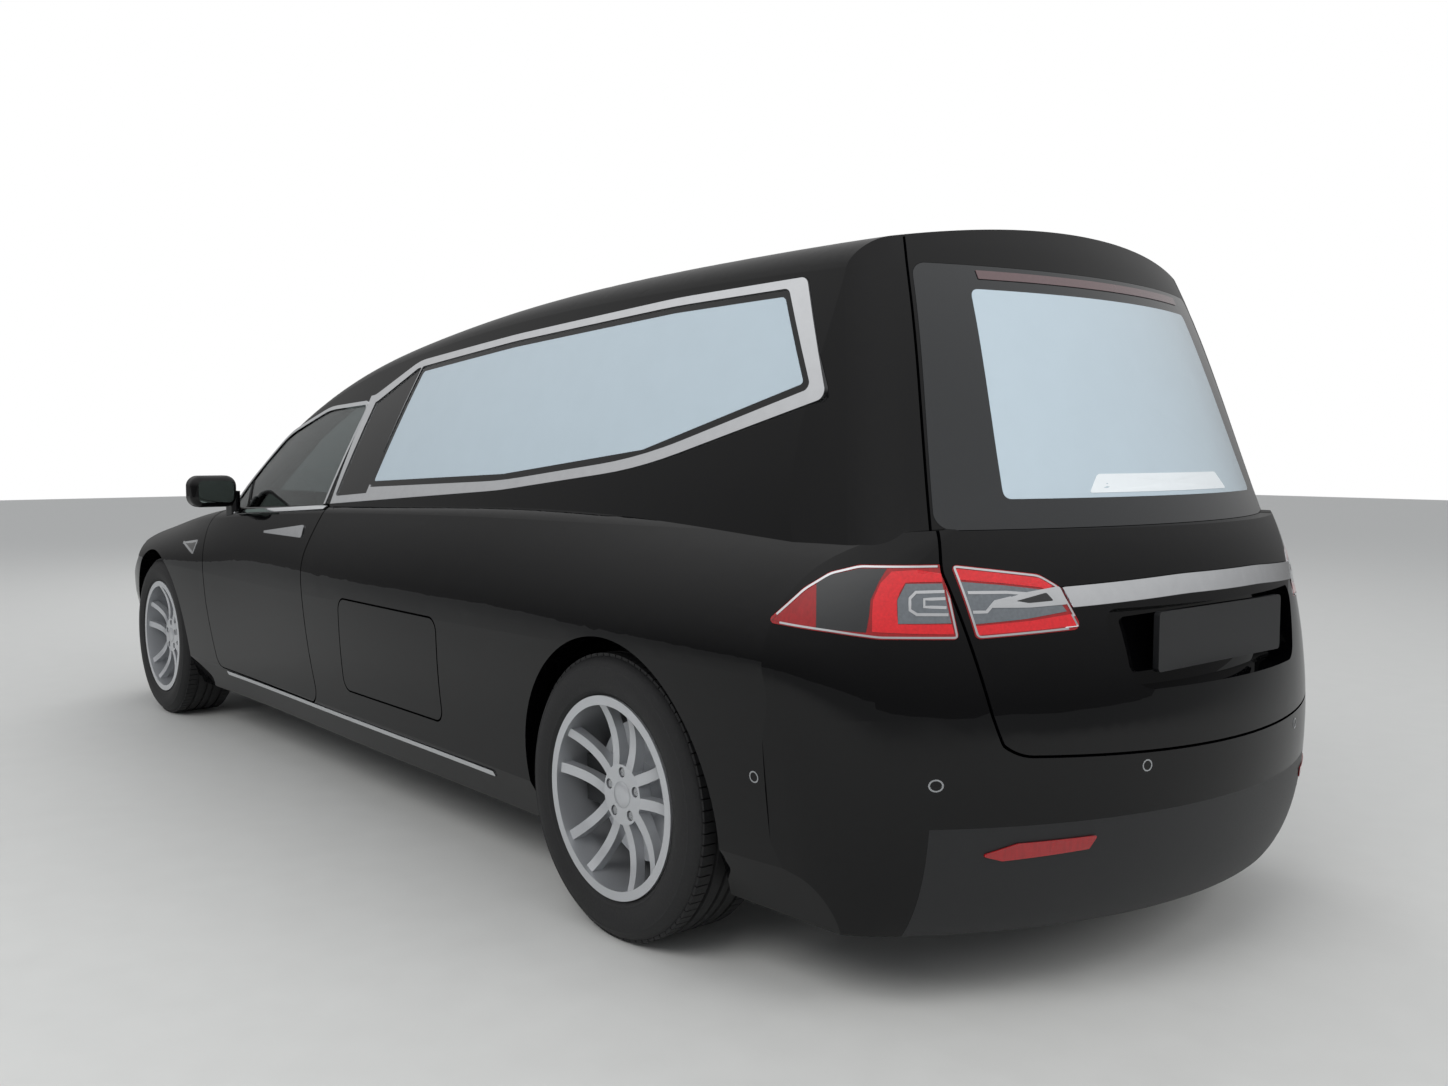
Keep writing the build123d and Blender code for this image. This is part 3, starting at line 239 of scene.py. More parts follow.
NODE_FINISH: dict[str, Finish] = {
    "door_glass_left": CLEAR, "door_glass_right": CLEAR, "windscreen": CLEAR,
    "side_glasses": FRIT, "tailgate_glass": SHADE,
    "window_frames": CHROME, "door_trim_left": CHROME, "door_trim_right": CHROME, "tailgate_bar": CHROME,
    "tail_lamps_body": RED, "tail_lamps_gate": RED, "reflectors": RED, "headlamps": LAMP,
    "front_intake": SATIN, "battery_pack": SATIN, "floor_pan": SATIN,
    "dashboard": SATIN, "steering_wheel": LEATHER, "plate_holder": SATIN, "front_structure": SATIN,
    "pillar_covers": PIANO, "seats": LEATHER, "load_deck": OAK,
    "front_suspension": IRON, "rear_knuckles": IRON, "front_drive": IRON,
    "knuckle_left": IRON, "knuckle_right": IRON,
}


def node_finish(node: str) -> Finish:
    """Gives a CAD node's finish.

    Args:
        node: name of the node.

    Returns:
        Its finish, which is the body's paint unless the table says otherwise.
    """
    if node.startswith("tyre"):
        return RUBBER
    if node.startswith("rim"):
        return ALLOY
    return NODE_FINISH.get(node, PAINT)


def finish_piece(name: str, bm: Any, finish: Finish, body: str, sharp_deg: float = 35.0) -> Any:
    """Makes an object from a bmesh, with its material, shading and body.

    Args:
        name: the piece's name.
        bm: the mesh, which is freed.
        finish: the piece's finish.
        body: the CAD body that it rides on.
        sharp_deg: edges steeper than this stay sharp.

    Returns:
        The object.
    """
    bmesh.ops.recalc_face_normals(bm, faces=bm.faces)
    mesh = bpy.data.meshes.new(name)
    bm.to_mesh(mesh)
    bm.free()
    mesh.materials.append(finish.build())
    mesh.shade_smooth()
    mesh.set_sharp_from_angle(angle=math.radians(sharp_deg))
    obj = bpy.data.objects.new(name, mesh)
    bpy.context.scene.collection.objects.link(obj)
    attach(obj, body)
    LOG.info("%s: %d faces on %s", name, len(mesh.polygons), body)
    return obj


@dataclass
class Coachwork:
    """The CAD nodes, dressed: one material each."""

    def dress(self) -> None:
        """Gives every CAD node its finish."""
        for name, obj in frame["nodes"].items():
            obj.data.materials.clear()
            obj.data.materials.append(node_finish(name).build())
            LOG.info("dressed %s", name)


class Panel:
    """A CAD node as a surface that flat outlines are thrown onto."""

    def __init__(self, node: str, view: View) -> None:
        """Readies a node for rays.

        Args:
            node: the CAD node.
            view: the side that the rays come from.
        """
        obj = frame["nodes"][node]
        corners = [obj.matrix_world @ v.co for v in obj.data.vertices]
        self.tree = BVHTree.FromPolygons(corners, [tuple(p.vertices) for p in obj.data.polygons])
        self.ray = Vector((*view.value, 0.0))
        across = self.ray.cross(Vector((0.0, 0.0, 1.0)))
        self.across = across if across.x > 0.1 or across.y > 0.1 else -across

    def hit(self, u: float, v: float) -> tuple[Vector, Vector]:
        """Throws one point onto the surface.

        Args:
            u: Y in a view from an end, X in a view from a side, both in a view of a corner.
            v: Z.

        Returns:
            The point on the surface and the outward normal there.
        """
        flat = self.across * u + Vector((0.0, 0.0, v))
        place, normal, _, _ = self.tree.ray_cast(flat - self.ray * 5.0, self.ray)
        if place is None:
            place, normal, _, _ = self.tree.find_nearest(flat - self.ray * 1.5)
        if normal.dot(self.ray) > 0:
            normal = -normal
        return place, normal

    def band(self, bm: Any, first: Sequence[Flat], second: Sequence[Flat], rows: int = 2,
             low: float = -0.0005, high: float = 0.0012) -> None:
        """Adds a closed skin between two flat lines of the same count.

        Args:
            bm: mesh that gets the faces.
            first: one edge of the band.
            second: its other edge.
            rows: faces across the band.
            low: depth of its back, along the normal.
            high: height of its front.
        """
        count = len(first)
        back: list[list[Any]] = []
        front: list[list[Any]] = []
        for (u0, v0), (u1, v1) in zip(first, second):
            hits = [self.hit(u0 + (u1 - u0) * j / rows, v0 + (v1 - v0) * j / rows) for j in range(rows + 1)]
            back.append([bm.verts.new(place + normal * low) for place, normal in hits])
            front.append([bm.verts.new(place + normal * high) for place, normal in hits])
        for i in range(count - 1):
            for layer in (back, front):
                for j in range(rows):
                    bm.faces.new((layer[i][j], layer[i + 1][j], layer[i + 1][j + 1], layer[i][j + 1]))
            for j in (0, rows):
                bm.faces.new((back[i][j], back[i + 1][j], front[i + 1][j], front[i][j]))
        for i in (0, count - 1):
            for j in range(rows):
                bm.faces.new((back[i][j], back[i][j + 1], front[i][j + 1], front[i][j]))


    def pane(self, bm: Any, outline: Sequence[Flat], rings: int = 6, low: float = -0.0004,
             high: float = 0.0008) -> None:
        """Adds a closed skin over a flat outline, in rings about its middle.

        Args:
            bm: mesh that gets the faces.
            outline: the outline, not closed, all of it in sight of its middle.
            rings: rings of faces from the edge to the middle.
            low: depth of its back, along the normal.
            high: height of its front.
        """
        count = len(outline)
        u0 = sum(u for u, _ in outline) / count
        v0 = sum(v for _, v in outline) / count
        edges = []
        for height in (low, high):
            loops = []
            for k in range(rings):
                share = 1 - k / rings
                hits = [self.hit(u0 + (u - u0) * share, v0 + (v - v0) * share) for u, v in outline]
                loops.append([bm.verts.new(place + normal * height) for place, normal in hits])
            place, normal = self.hit(u0, v0)
            middle = bm.verts.new(place + normal * height)
            for i in range(count):
                j = (i + 1) % count
                for outer, inner in zip(loops, loops[1:]):
                    bm.faces.new((outer[i], outer[j], inner[j], inner[i]))
                bm.faces.new((loops[-1][i], loops[-1][j], middle))
            edges.append(loops[0])
        for i in range(count):
            j = (i + 1) % count
            bm.faces.new((edges[0][i], edges[0][j], edges[1][j], edges[1][i]))


def dense(points: Sequence[Flat], step: float = 0.02) -> list[Flat]:
    """Adds points along a line of straight runs.

    Args:
        points: the corners.
        step: the longest run between two points.

    Returns:
        The corners with points between them.
    """
    line: list[Flat] = [points[0]]
    for (u0, v0), (u1, v1) in zip(points, points[1:]):
        count = max(1, math.ceil(math.hypot(u1 - u0, v1 - v0) / step))
        line += [(u0 + (u1 - u0) * k / count, v0 + (v1 - v0) * k / count) for k in range(1, count + 1)]
    return line


def inset(points: Sequence[Flat], distance: float) -> list[Flat]:
    """Draws a closed outline in by a distance.

    Args:
        points: corners of the outline, anticlockwise.
        distance: how far in.

    Returns:
        The new corners.
    """
    corners: list[Flat] = []
    for before, here, after in zip([points[-1], *points[:-1]], points, [*points[1:], points[0]]):
        a = Vector((here[0] - before[0], here[1] - before[1])).normalized()
        b = Vector((after[0] - here[0], after[1] - here[1])).normalized()
        lean = Vector((-a.y - b.y, a.x + b.x)).normalized()
        reach = distance / max(0.3, lean.dot(Vector((-a.y, a.x))))
        corners.append((here[0] + lean.x * reach, here[1] + lean.y * reach))
    return corners


def inset_ring(points: Sequence[Flat], near: float, far: float) -> tuple[list[Flat], list[Flat]]:
    """Two closed lines inside an outline, at two distances from it.

    Args:
        points: corners of the outline, anticlockwise.
        near: distance of the first line.
        far: distance of the second line.

    Returns:
        Both lines, each ending where it starts.
    """
    outer = inset(points, near)
    inner = inset(points, far)
    first: list[Flat] = []
    second: list[Flat] = []
    pairs = list(zip(outer, inner))
    for (a0, b0), (a1, b1) in zip(pairs, [*pairs[1:], pairs[0]]):
        count = max(1, math.ceil(math.hypot(a1[0] - a0[0], a1[1] - a0[1]) / 0.02))
        for k in range(count):
            t = k / count
            first.append((a0[0] + (a1[0] - a0[0]) * t, a0[1] + (a1[1] - a0[1]) * t))
            second.append((b0[0] + (b1[0] - b0[0]) * t, b0[1] + (b1[1] - b0[1]) * t))
    return [*first, first[0]], [*second, second[0]]


def rounded(points: Sequence[Flat], radius: float, steps: int = 6) -> list[Flat]:
    """Rounds the corners of a closed outline.

    Args:
        points: the corners.
        radius: distance from each corner at which its curve begins.
        steps: points on each curve.

    Returns:
        The rounded outline, not closed.
    """
    outline: list[Flat] = []
    for before, here, after in zip([points[-1], *points[:-1]], points, [*points[1:], points[0]]):
        corner = Vector(here)
        start = corner + (Vector(before) - corner).normalized() * radius
        end = corner + (Vector(after) - corner).normalized() * radius
        for k in range(steps + 1):
            t = k / steps
            bend = start * (1 - t) ** 2 + corner * 2 * t * (1 - t) + end * t**2
            outline.append((bend.x, bend.y))
    return outline


def closed(points: Sequence[Flat], step: float = 0.02) -> list[Flat]:
    """Adds points all round an outline, a step apart at most, and gives it without its first point again."""
    return dense([*points, points[0]], step)[:-1]


def sided(points: Sequence[Flat], side: Side) -> list[Flat]:
    """Takes points of the left side, as Y and Z, to either side of the car."""
    return [(side.value * y, z) for y, z in points]


def circle(middle: Flat, radius: float, turns: Sequence[float]) -> list[Flat]:
    """Gives one point of a flat circle for each angle in turns."""
    return [(middle[0] + radius * math.cos(a), middle[1] + radius * math.sin(a)) for a in turns]


@dataclass
class Glazing:
    """Frosted panes on the dark glass, the high brake lamp and the quarter-light bars."""

    side_rows: tuple[Flat, ...] = (
        (1.5, 1.072), (0.677, 1.108), (0.055, 1.177), (-0.488, 1.33), (-0.348, 1.563), (0.057, 1.556),
        (0.802, 1.515), (1.372, 1.468))
    side_border: float = 0.018
    side_corner: float = 0.012
    gate_rows: tuple[Flat, ...] = ((0.515, 1.09), (0.44, 1.552), (-0.44, 1.552), (-0.515, 1.09))
    gate_corner: float = 0.02
    pane_rings: int = 10
    strip_rows: tuple[Flat, ...] = ((0.29, 1.1), (0.25, 1.141), (-0.25, 1.141), (-0.29, 1.1))
    strip_corner: float = 0.008
    strip_skin: Flat = (0.0004, 0.0016)
    brake_half: float = 0.41
    brake_low: float = 1.576
    brake_high: float = 1.596
    brake_skin: Flat = (0.0007, 0.0022)
    divider_low: Flat = (0.934, 0.996)
    divider_high: Flat = (1.028, 1.13)
    divider_width: float = 0.02
    divider_proud: float = 0.004

    def build(self) -> None:
        """Makes all the pieces."""
        self.side_panes()
        self.gate_pieces()
        for side in Side:
            self.divider(side)

    def side_panes(self) -> None:
        """Lays the frosted panes on both side windows, inside a thin black border."""
        bm = bmesh.new()
        corners = inset([(REAR_AXLE + x, z) for x, z in reversed(self.side_rows)], self.side_border)
        outline = closed(rounded(corners, self.side_corner, 4))
        for view in (View.LEFT, View.RIGHT):
            Panel("side_glasses", view).pane(bm, outline, self.pane_rings)
        finish_piece("side_frosted_panes", bm, FROST, "body")

    def gate_pieces(self) -> None:
        """Lays the frosted pane, the white strip and the high brake lamp on the tailgate's glass."""
        panel = Panel("tailgate_glass", View.REAR)
        bm = bmesh.new()
        panel.pane(bm, closed(rounded(self.gate_rows, self.gate_corner)), self.pane_rings)
        finish_piece("tailgate_frosted_pane", bm, FROST, "tailgate")
        bm = bmesh.new()
        panel.pane(bm, closed(rounded(self.strip_rows, self.strip_corner, 3)), 3, *self.strip_skin)
        finish_piece("tailgate_glass_strip", bm, OPAL, "tailgate")
        bm = bmesh.new()
        low = dense([(-self.brake_half, self.brake_low), (self.brake_half, self.brake_low)])
        high = dense([(-self.brake_half, self.brake_high), (self.brake_half, self.brake_high)])
        panel.band(bm, low, high, 1, *self.brake_skin)
        finish_piece("high_brake_lamp", bm, DUSK, "tailgate")

    def divider(self, side: Side) -> None:
        """Sets the bar between a door's window and its quarter light.

        Args:
            side: the door's side of the car.
        """
        name = side.name.lower()
        panel = Panel(f"door_glass_{name}", View[side.name])
        bm = bmesh.new()
        half = self.divider_width / 2
        ends = (self.divider_low, self.divider_high)
        rear, front = [dense([(x + shift, z) for x, z in ends]) for shift in (-half, half)]
        panel.band(bm, rear, front, rows=1, high=self.divider_proud)
        finish_piece(f"quarter_light_bar_{name}", bm, SATIN, f"door_{name}")


def thin_line(panel: Panel, bm: Any, points: Sequence[Flat], half: float = 0.003,
              proud: float = 0.0022) -> None:
    """Lays one thin line on a panel.

    Args:
        panel: the panel.
        bm: mesh that gets the line.
        points: the line's middle.
        half: half of the line's width.
        proud: height of its front.
    """
    count = len(points)
    edges: tuple[list[Flat], list[Flat]] = ([], [])
    for i, (u, v) in enumerate(points):
        run = Vector(points[min(i + 1, count - 1)]) - Vector(points[max(i - 1, 0)])
        lean = Vector((-run.y, run.x)).normalized() * half
        edges[0].append((u - lean.x, v - lean.y))
        edges[1].append((u + lean.x, v + lean.y))
    panel.band(bm, *edges, rows=1, low=0.0, high=proud)


@dataclass
class TailLamps:
    """Dark sections, bowls, light guides with a painted glow, bright edges and wedges on the tail lamps."""

    corner_start: float = REAR_AXLE * math.sqrt(0.5)
    body_edge: tuple[Flat, ...] = (
        (0.278, 0.838), (0.198, 0.912), (0.145, 0.945), (0.085, 0.961), (-0.085, 0.962), (-0.117, 0.812),
        (0.045, 0.814), (0.145, 0.826))
    body_dark: tuple[Flat, ...] = (
        (0.172, 0.834), (0.172, 0.92), (0.145, 0.938), (0.085, 0.953), (0.03, 0.954), (0.046, 0.928),
        (0.063, 0.892), (0.066, 0.86), (0.072, 0.828))
    body_bowl: tuple[Flat, ...] = (
        (0.008, 0.845), (0.009, 0.892), (-0.008, 0.924), (-0.082, 0.924), (-0.1, 0.845))
    body_guide: tuple[tuple[Flat, ...], tuple[Flat, ...]] = (
        ((-0.106, 0.823), (-0.02, 0.825), (0.06, 0.829), (0.06, 0.86), (0.058, 0.892), (0.043, 0.925),
         (0.02, 0.948), (-0.03, 0.951), (-0.079, 0.951)),
        ((-0.101, 0.843), (-0.05, 0.843), (0.008, 0.844), (0.01, 0.868), (0.01, 0.892), (0.003, 0.91),
         (-0.007, 0.926), (-0.04, 0.927), (-0.082, 0.927)))
    body_lines: tuple[tuple[Flat, ...], ...] = (
        ((-0.094, 0.862), (-0.03, 0.863), (-0.016, 0.872), (-0.016, 0.895), (-0.028, 0.907),
         (-0.086, 0.908)),
        ((-0.09, 0.876), (-0.045, 0.878), (-0.045, 0.893), (-0.088, 0.894)))
    gate_edge: tuple[Flat, ...] = (
        (0.69, 0.962), (0.525, 0.939), (0.487, 0.913), (0.454, 0.825), (0.672, 0.812))
    gate_bowl: tuple[Flat, ...] = (
        (0.68, 0.927), (0.6, 0.918), (0.53, 0.908), (0.505, 0.9), (0.483, 0.862), (0.57, 0.85),
        (0.672, 0.842))
    gate_guides: tuple[tuple[tuple[Flat, ...], tuple[Flat, ...]], ...] = (
        (((0.683, 0.953), (0.6, 0.942), (0.527, 0.931), (0.503, 0.915)),
         ((0.681, 0.931), (0.6, 0.922), (0.53, 0.912), (0.511, 0.905))),
        (((0.671, 0.82), (0.56, 0.826), (0.467, 0.832)), ((0.673, 0.838), (0.56, 0.846), (0.476, 0.856))))
    gate_lines: tuple[tuple[Flat, ...], ...] = (
        ((0.672, 0.905), (0.6, 0.904), (0.56, 0.9)),
        ((0.67, 0.866), (0.645, 0.866), (0.625, 0.886), (0.592, 0.893)))
    gate_wedge: tuple[Flat, ...] = (
        (0.642, 0.874), (0.61, 0.89), (0.56, 0.903), (0.488, 0.913), (0.478, 0.876), (0.56, 0.872))
    gate_wedge_dark: tuple[Flat, ...] = ((0.585, 0.886), (0.52, 0.901), (0.508, 0.884), (0.56, 0.881))
    edge_corner: float = 0.012
    edge_near: float = 0.002
    edge_far: float = 0.006
    edge_proud: float = 0.0018
    lens_proud: float = 0.0012
    gate_guide_proud: float = 0.0016
    body_guide_proud: float = 0.0018
    wedge_corner: float = 0.006
    wedge_proud: float = 0.0032
    wedge_dark_corner: float = 0.004
    wedge_dark_skin: Flat = (0.002, 0.0038)

    def build(self) -> None:
        """Dresses the gate halves and the body halves."""
        self.gate_halves()
        self.body_halves()

    def edge(self, outline: Sequence[Flat]) -> tuple[list[Flat], list[Flat]]:
        """Gives the outer and the inner line of the bright edge inside a lamp's outline."""
        return inset_ring(rounded(outline, self.edge_corner, 4), self.edge_near, self.edge_far)

    def moved(self, points: Sequence[Flat]) -> list[Flat]:
        """Takes points from the rear axle's place along the corner to the panel's own start."""
        return [(self.corner_start + u, v) for u, v in points]

    def gate_halves(self) -> None:
        """Lays bowls, red guides with a painted glow, lines, edges and the bright wedges on the lamps in the
        tailgate.
        """
        panel = Panel("tail_lamps_gate", View.REAR)
        bowl, painted_glow_guides, bright, smoke = [bmesh.new() for _ in range(4)]
        wedge = closed(rounded(self.gate_wedge, self.wedge_corner, 3))
        wedge_dark = closed(rounded(self.gate_wedge_dark, self.wedge_dark_corner, 3))
        for side in Side:
            panel.pane(bowl, sided(closed(self.gate_bowl), side), rings=5, high=self.lens_proud)
            for rows in self.gate_guides:
                panel.band(painted_glow_guides, *[sided(row, side) for row in rows], rows=3, low=0.0,
                           high=self.gate_guide_proud)
            for row in self.gate_lines:
                thin_line(panel, bright, sided(dense(row), side))
            panel.band(bright, *[sided(row, side) for row in self.edge(self.gate_edge)], rows=1, low=0.0,
                       high=self.edge_proud)
            panel.pane(bright, sided(wedge, side), rings=5, high=self.wedge_proud)
            panel.pane(smoke, sided(wedge_dark, side), 3, *self.wedge_dark_skin)
        finish_piece("gate_lamp_bowls", bowl, BOWL, "tailgate")
        # The guides' bright scarlet is a painted glow of light through the acrylic, not a lit lamp
        finish_piece("gate_lamp_guides", painted_glow_guides, RED_GUIDE_PAINTED_GLOW, "tailgate")
        finish_piece("gate_lamp_lines", bright, CHROME, "tailgate")
        finish_piece("gate_lamp_wedge_lenses", smoke, SMOKE, "tailgate")

    def body_halves(self) -> None:
        """Lays the dark section, the bowl, the red guide with a painted glow, lines and edges on both body
        halves.
        """
        smoke, bowl, painted_glow_guides, bright = [bmesh.new() for _ in range(4)]
        for view in (View.LEFT_CORNER, View.RIGHT_CORNER):
            panel = Panel("tail_lamps_body", view)
            panel.pane(smoke, self.moved(closed(self.body_dark)), rings=6, high=self.lens_proud)
            panel.pane(bowl, self.moved(closed(self.body_bowl)), rings=5, high=self.lens_proud)
            panel.band(painted_glow_guides, *[self.moved(row) for row in self.body_guide], rows=3, low=0.0,
                       high=self.body_guide_proud)
            for row in self.body_lines:
                thin_line(panel, bright, self.moved(dense(row)))
            panel.band(bright, *[self.moved(row) for row in self.edge(self.body_edge)], rows=1, low=0.0,
                       high=self.edge_proud)
        finish_piece("body_lamp_dark_sections", smoke, SMOKE, "body")
        finish_piece("body_lamp_bowls", bowl, BOWL, "body")
        # The guides' bright scarlet is a painted glow of light through the acrylic, not a lit lamp
        finish_piece("body_lamp_guides", painted_glow_guides, RED_GUIDE_PAINTED_GLOW, "body")
        finish_piece("body_lamp_lines", bright, CHROME, "body")


@dataclass
class Headlamps:
    """Dark insides, round lenses and light lines of the headlamps."""

    dark: tuple[Flat, ...] = (
        (0.565, 0.625), (0.6, 0.616), (0.715, 0.616), (0.79, 0.636), (0.822, 0.652), (0.822, 0.669),
        (0.79, 0.673), (0.7, 0.661), (0.58, 0.65))
    dark_corner: float = 0.006
    dark_proud: float = 0.001
    lenses: tuple[Flat, ...] = ((0.632, 0.639), (0.69, 0.643), (0.748, 0.651))
    lens_radius: float = 0.0145
    lens_skin: Flat = (0.0006, 0.003)
    light_line: tuple[Flat, ...] = ((0.585, 0.622), (0.715, 0.623), (0.785, 0.642), (0.812, 0.656))
    light_half: float = 0.0025
    steps: int = 24

    def build(self) -> None:
        """Lays the pieces of both headlamps."""
        panel = Panel("headlamps", View.FRONT)
        dark, lens, bright = [bmesh.new() for _ in range(3)]
        turns = [2 * math.pi * k / self.steps for k in range(self.steps)]
        inside = closed(rounded(self.dark, self.dark_corner, 3))
        for side in Side:
            panel.pane(dark, sided(inside, side), rings=5, high=self.dark_proud)
            thin_line(panel, bright, sided(dense(self.light_line), side), self.light_half)
            for middle in sided(self.lenses, side):
                panel.pane(lens, circle(middle, self.lens_radius, turns), 3, *self.lens_skin)
        finish_piece("headlamp_dark_insides", dark, SMOKE, "body")
        finish_piece("headlamp_lenses", lens, LAMP, "body")
        finish_piece("headlamp_light_lines", bright, OPAL, "body")


@dataclass
class FenderLamps:
    """Small three-cornered side lamps on the front fenders."""

    corners: tuple[Flat, ...] = ((1.33, 0.755), (1.485, 0.8), (1.3, 0.82))
    corner: float = 0.014
    step: float = 0.012
    rim: float = 0.009
    rim_proud: float = 0.0025
    lens_proud: float = 0.001

    def build(self) -> None:
        """Lays a smoked lens and a bright rim on both fenders."""
        lens = bmesh.new()
        rim = bmesh.new()
        outline = closed(rounded(self.corners, self.corner, 4), self.step)
        for view in (View.LEFT, View.RIGHT):
            panel = Panel("front_fenders", view)
            panel.pane(lens, outline, rings=4, high=self.lens_proud)
            panel.band(rim, *inset_ring(outline, 0.0, self.rim), rows=1, low=0.0, high=self.rim_proud)
        finish_piece("fender_lamp_lenses", lens, SMOKE, "body")
        finish_piece("fender_lamp_rims", rim, CHROME, "body")


@dataclass
class RearSensors:
    """Parking sensors in the rear bumper."""

    places: tuple[Flat, ...] = ((0.761, 0.521), (0.324, 0.532), (-0.324, 0.532), (-0.761, 0.521))
    side_place: Flat = (-2.215, 0.507)
    radius: float = 0.010
    ring: float = 0.003
    proud: float = 0.001
    steps: int = 20

    def build(self) -> None:
        """Lays a bright ring round each sensor."""
        bm = bmesh.new()
        turns = [2 * math.pi * k / self.steps for k in range(self.steps + 1)]
        sides = [(View.LEFT, self.side_place), (View.RIGHT, self.side_place)]
        for view, place in [(View.REAR, place) for place in self.places] + sides:
            rows = [circle(place, reach, turns) for reach in (self.radius, self.radius + self.ring)]
            Panel("rear_bumper", view).band(bm, *rows, rows=1, low=-self.proud, high=self.proud)
        finish_piece("parking_sensor_rings", bm, STEEL, "body")


class RingGroup:
    """Geometry nodes that set copies of a block or a nut in a ring about an axle."""

    INPUTS = (("Count", "NodeSocketInt"), ("Radius", "NodeSocketFloat"), ("Size", "NodeSocketVector"),
              ("Offset", "NodeSocketFloat"), ("Start", "NodeSocketFloat"), ("Centre", "NodeSocketVector"),
              ("Material", "NodeSocketMaterial"))

    def __init__(self, name: str, nut: bool) -> None:
        """Makes the node group.

        Args:
            name: its name.
            nut: six-sided nuts along the axle, or else blocks on the rolling face.
        """
        tree = bpy.data.node_groups.new(name, "GeometryNodeTree")
        tree.interface.new_socket("Geometry", in_out="OUTPUT", socket_type="NodeSocketGeometry")
        self.ids = {label: tree.interface.new_socket(label, in_out="INPUT", socket_type=kind).identifier
                    for label, kind in self.INPUTS}
        self.tree = tree
        given = add_node(tree, "NodeGroupInput").outputs
        solid = self.nut(given) if nut else self.block(given)
        reach = add_node(tree, "ShaderNodeCombineXYZ", links={"Y": given["Offset"], "Z": given["Radius"]})
        out = add_node(tree, "GeometryNodeTransform", links={
            "Geometry": solid, "Translation": reach.outputs[0]})
        points = add_node(tree, "GeometryNodePoints", links={"Count": given["Count"]})
        index = add_node(tree, "GeometryNodeInputIndex")
        step = add_node(tree, "ShaderNodeMath", {"operation": "DIVIDE", 0: 2 * math.pi},
                        {1: given["Count"]})
        angle = add_node(tree, "ShaderNodeMath", {"operation": "MULTIPLY_ADD"},
                         {0: index.outputs[0], 1: step.outputs[0], 2: given["Start"]})
        spin = add_node(tree, "ShaderNodeCombineXYZ", links={"Y": angle.outputs[0]})
        copies = add_node(tree, "GeometryNodeInstanceOnPoints", links={
            "Points": points.outputs[0], "Instance": out.outputs["Geometry"], "Rotation": spin.outputs[0]})
        placed = add_node(tree, "GeometryNodeTransform", links={
            "Geometry": copies.outputs[0], "Translation": given["Centre"]})
        real = add_node(tree, "GeometryNodeRealizeInstances", links={0: placed.outputs[0]})
        skin = add_node(tree, "GeometryNodeSetMaterial", links={
            "Geometry": real.outputs[0], "Material": given["Material"]})
        add_node(tree, "NodeGroupOutput", links={0: skin.outputs[0]})

    def block(self, given: Any) -> Any:
        """Adds the nodes of one block and gives the socket with it."""
        return add_node(self.tree, "GeometryNodeMeshCube", links={"Size": given["Size"]}).outputs["Mesh"]

    def nut(self, given: Any) -> Any:
        """Adds the nodes of one nut.

        Args:
            given: the group's inputs.

        Returns:
            The socket with the nut.
        """
        split = add_node(self.tree, "ShaderNodeSeparateXYZ", links={0: given["Size"]})
        shape = add_node(self.tree, "GeometryNodeMeshCylinder", {"Vertices": 6},
                         {"Radius": split.outputs[0], "Depth": split.outputs[1]})
        turned = add_node(self.tree, "GeometryNodeTransform", {"Rotation": (math.pi / 2, 0, 0)},
                          {"Geometry": shape.outputs["Mesh"]})
        return turned.outputs["Geometry"]

    def mesh(self, name: str, **values: Any) -> Any:
        """Evaluates the group once.

        Args:
            name: name of the new mesh.
            values: the group's inputs by name.

        Returns:
            The plain mesh.
        """
        holder = bpy.data.objects.new(name, bpy.data.meshes.new(name))
        bpy.context.scene.collection.objects.link(holder)
        modifier = holder.modifiers.new("ring", "NODES")
        modifier.node_group = self.tree
        for label, value in values.items():
            modifier[self.ids[label]] = value
        graph = bpy.context.evaluated_depsgraph_get()
        made = bpy.data.meshes.new_from_object(holder.evaluated_get(graph))
        holder.modifiers.remove(modifier)
        bpy.data.objects.remove(holder)
        return made


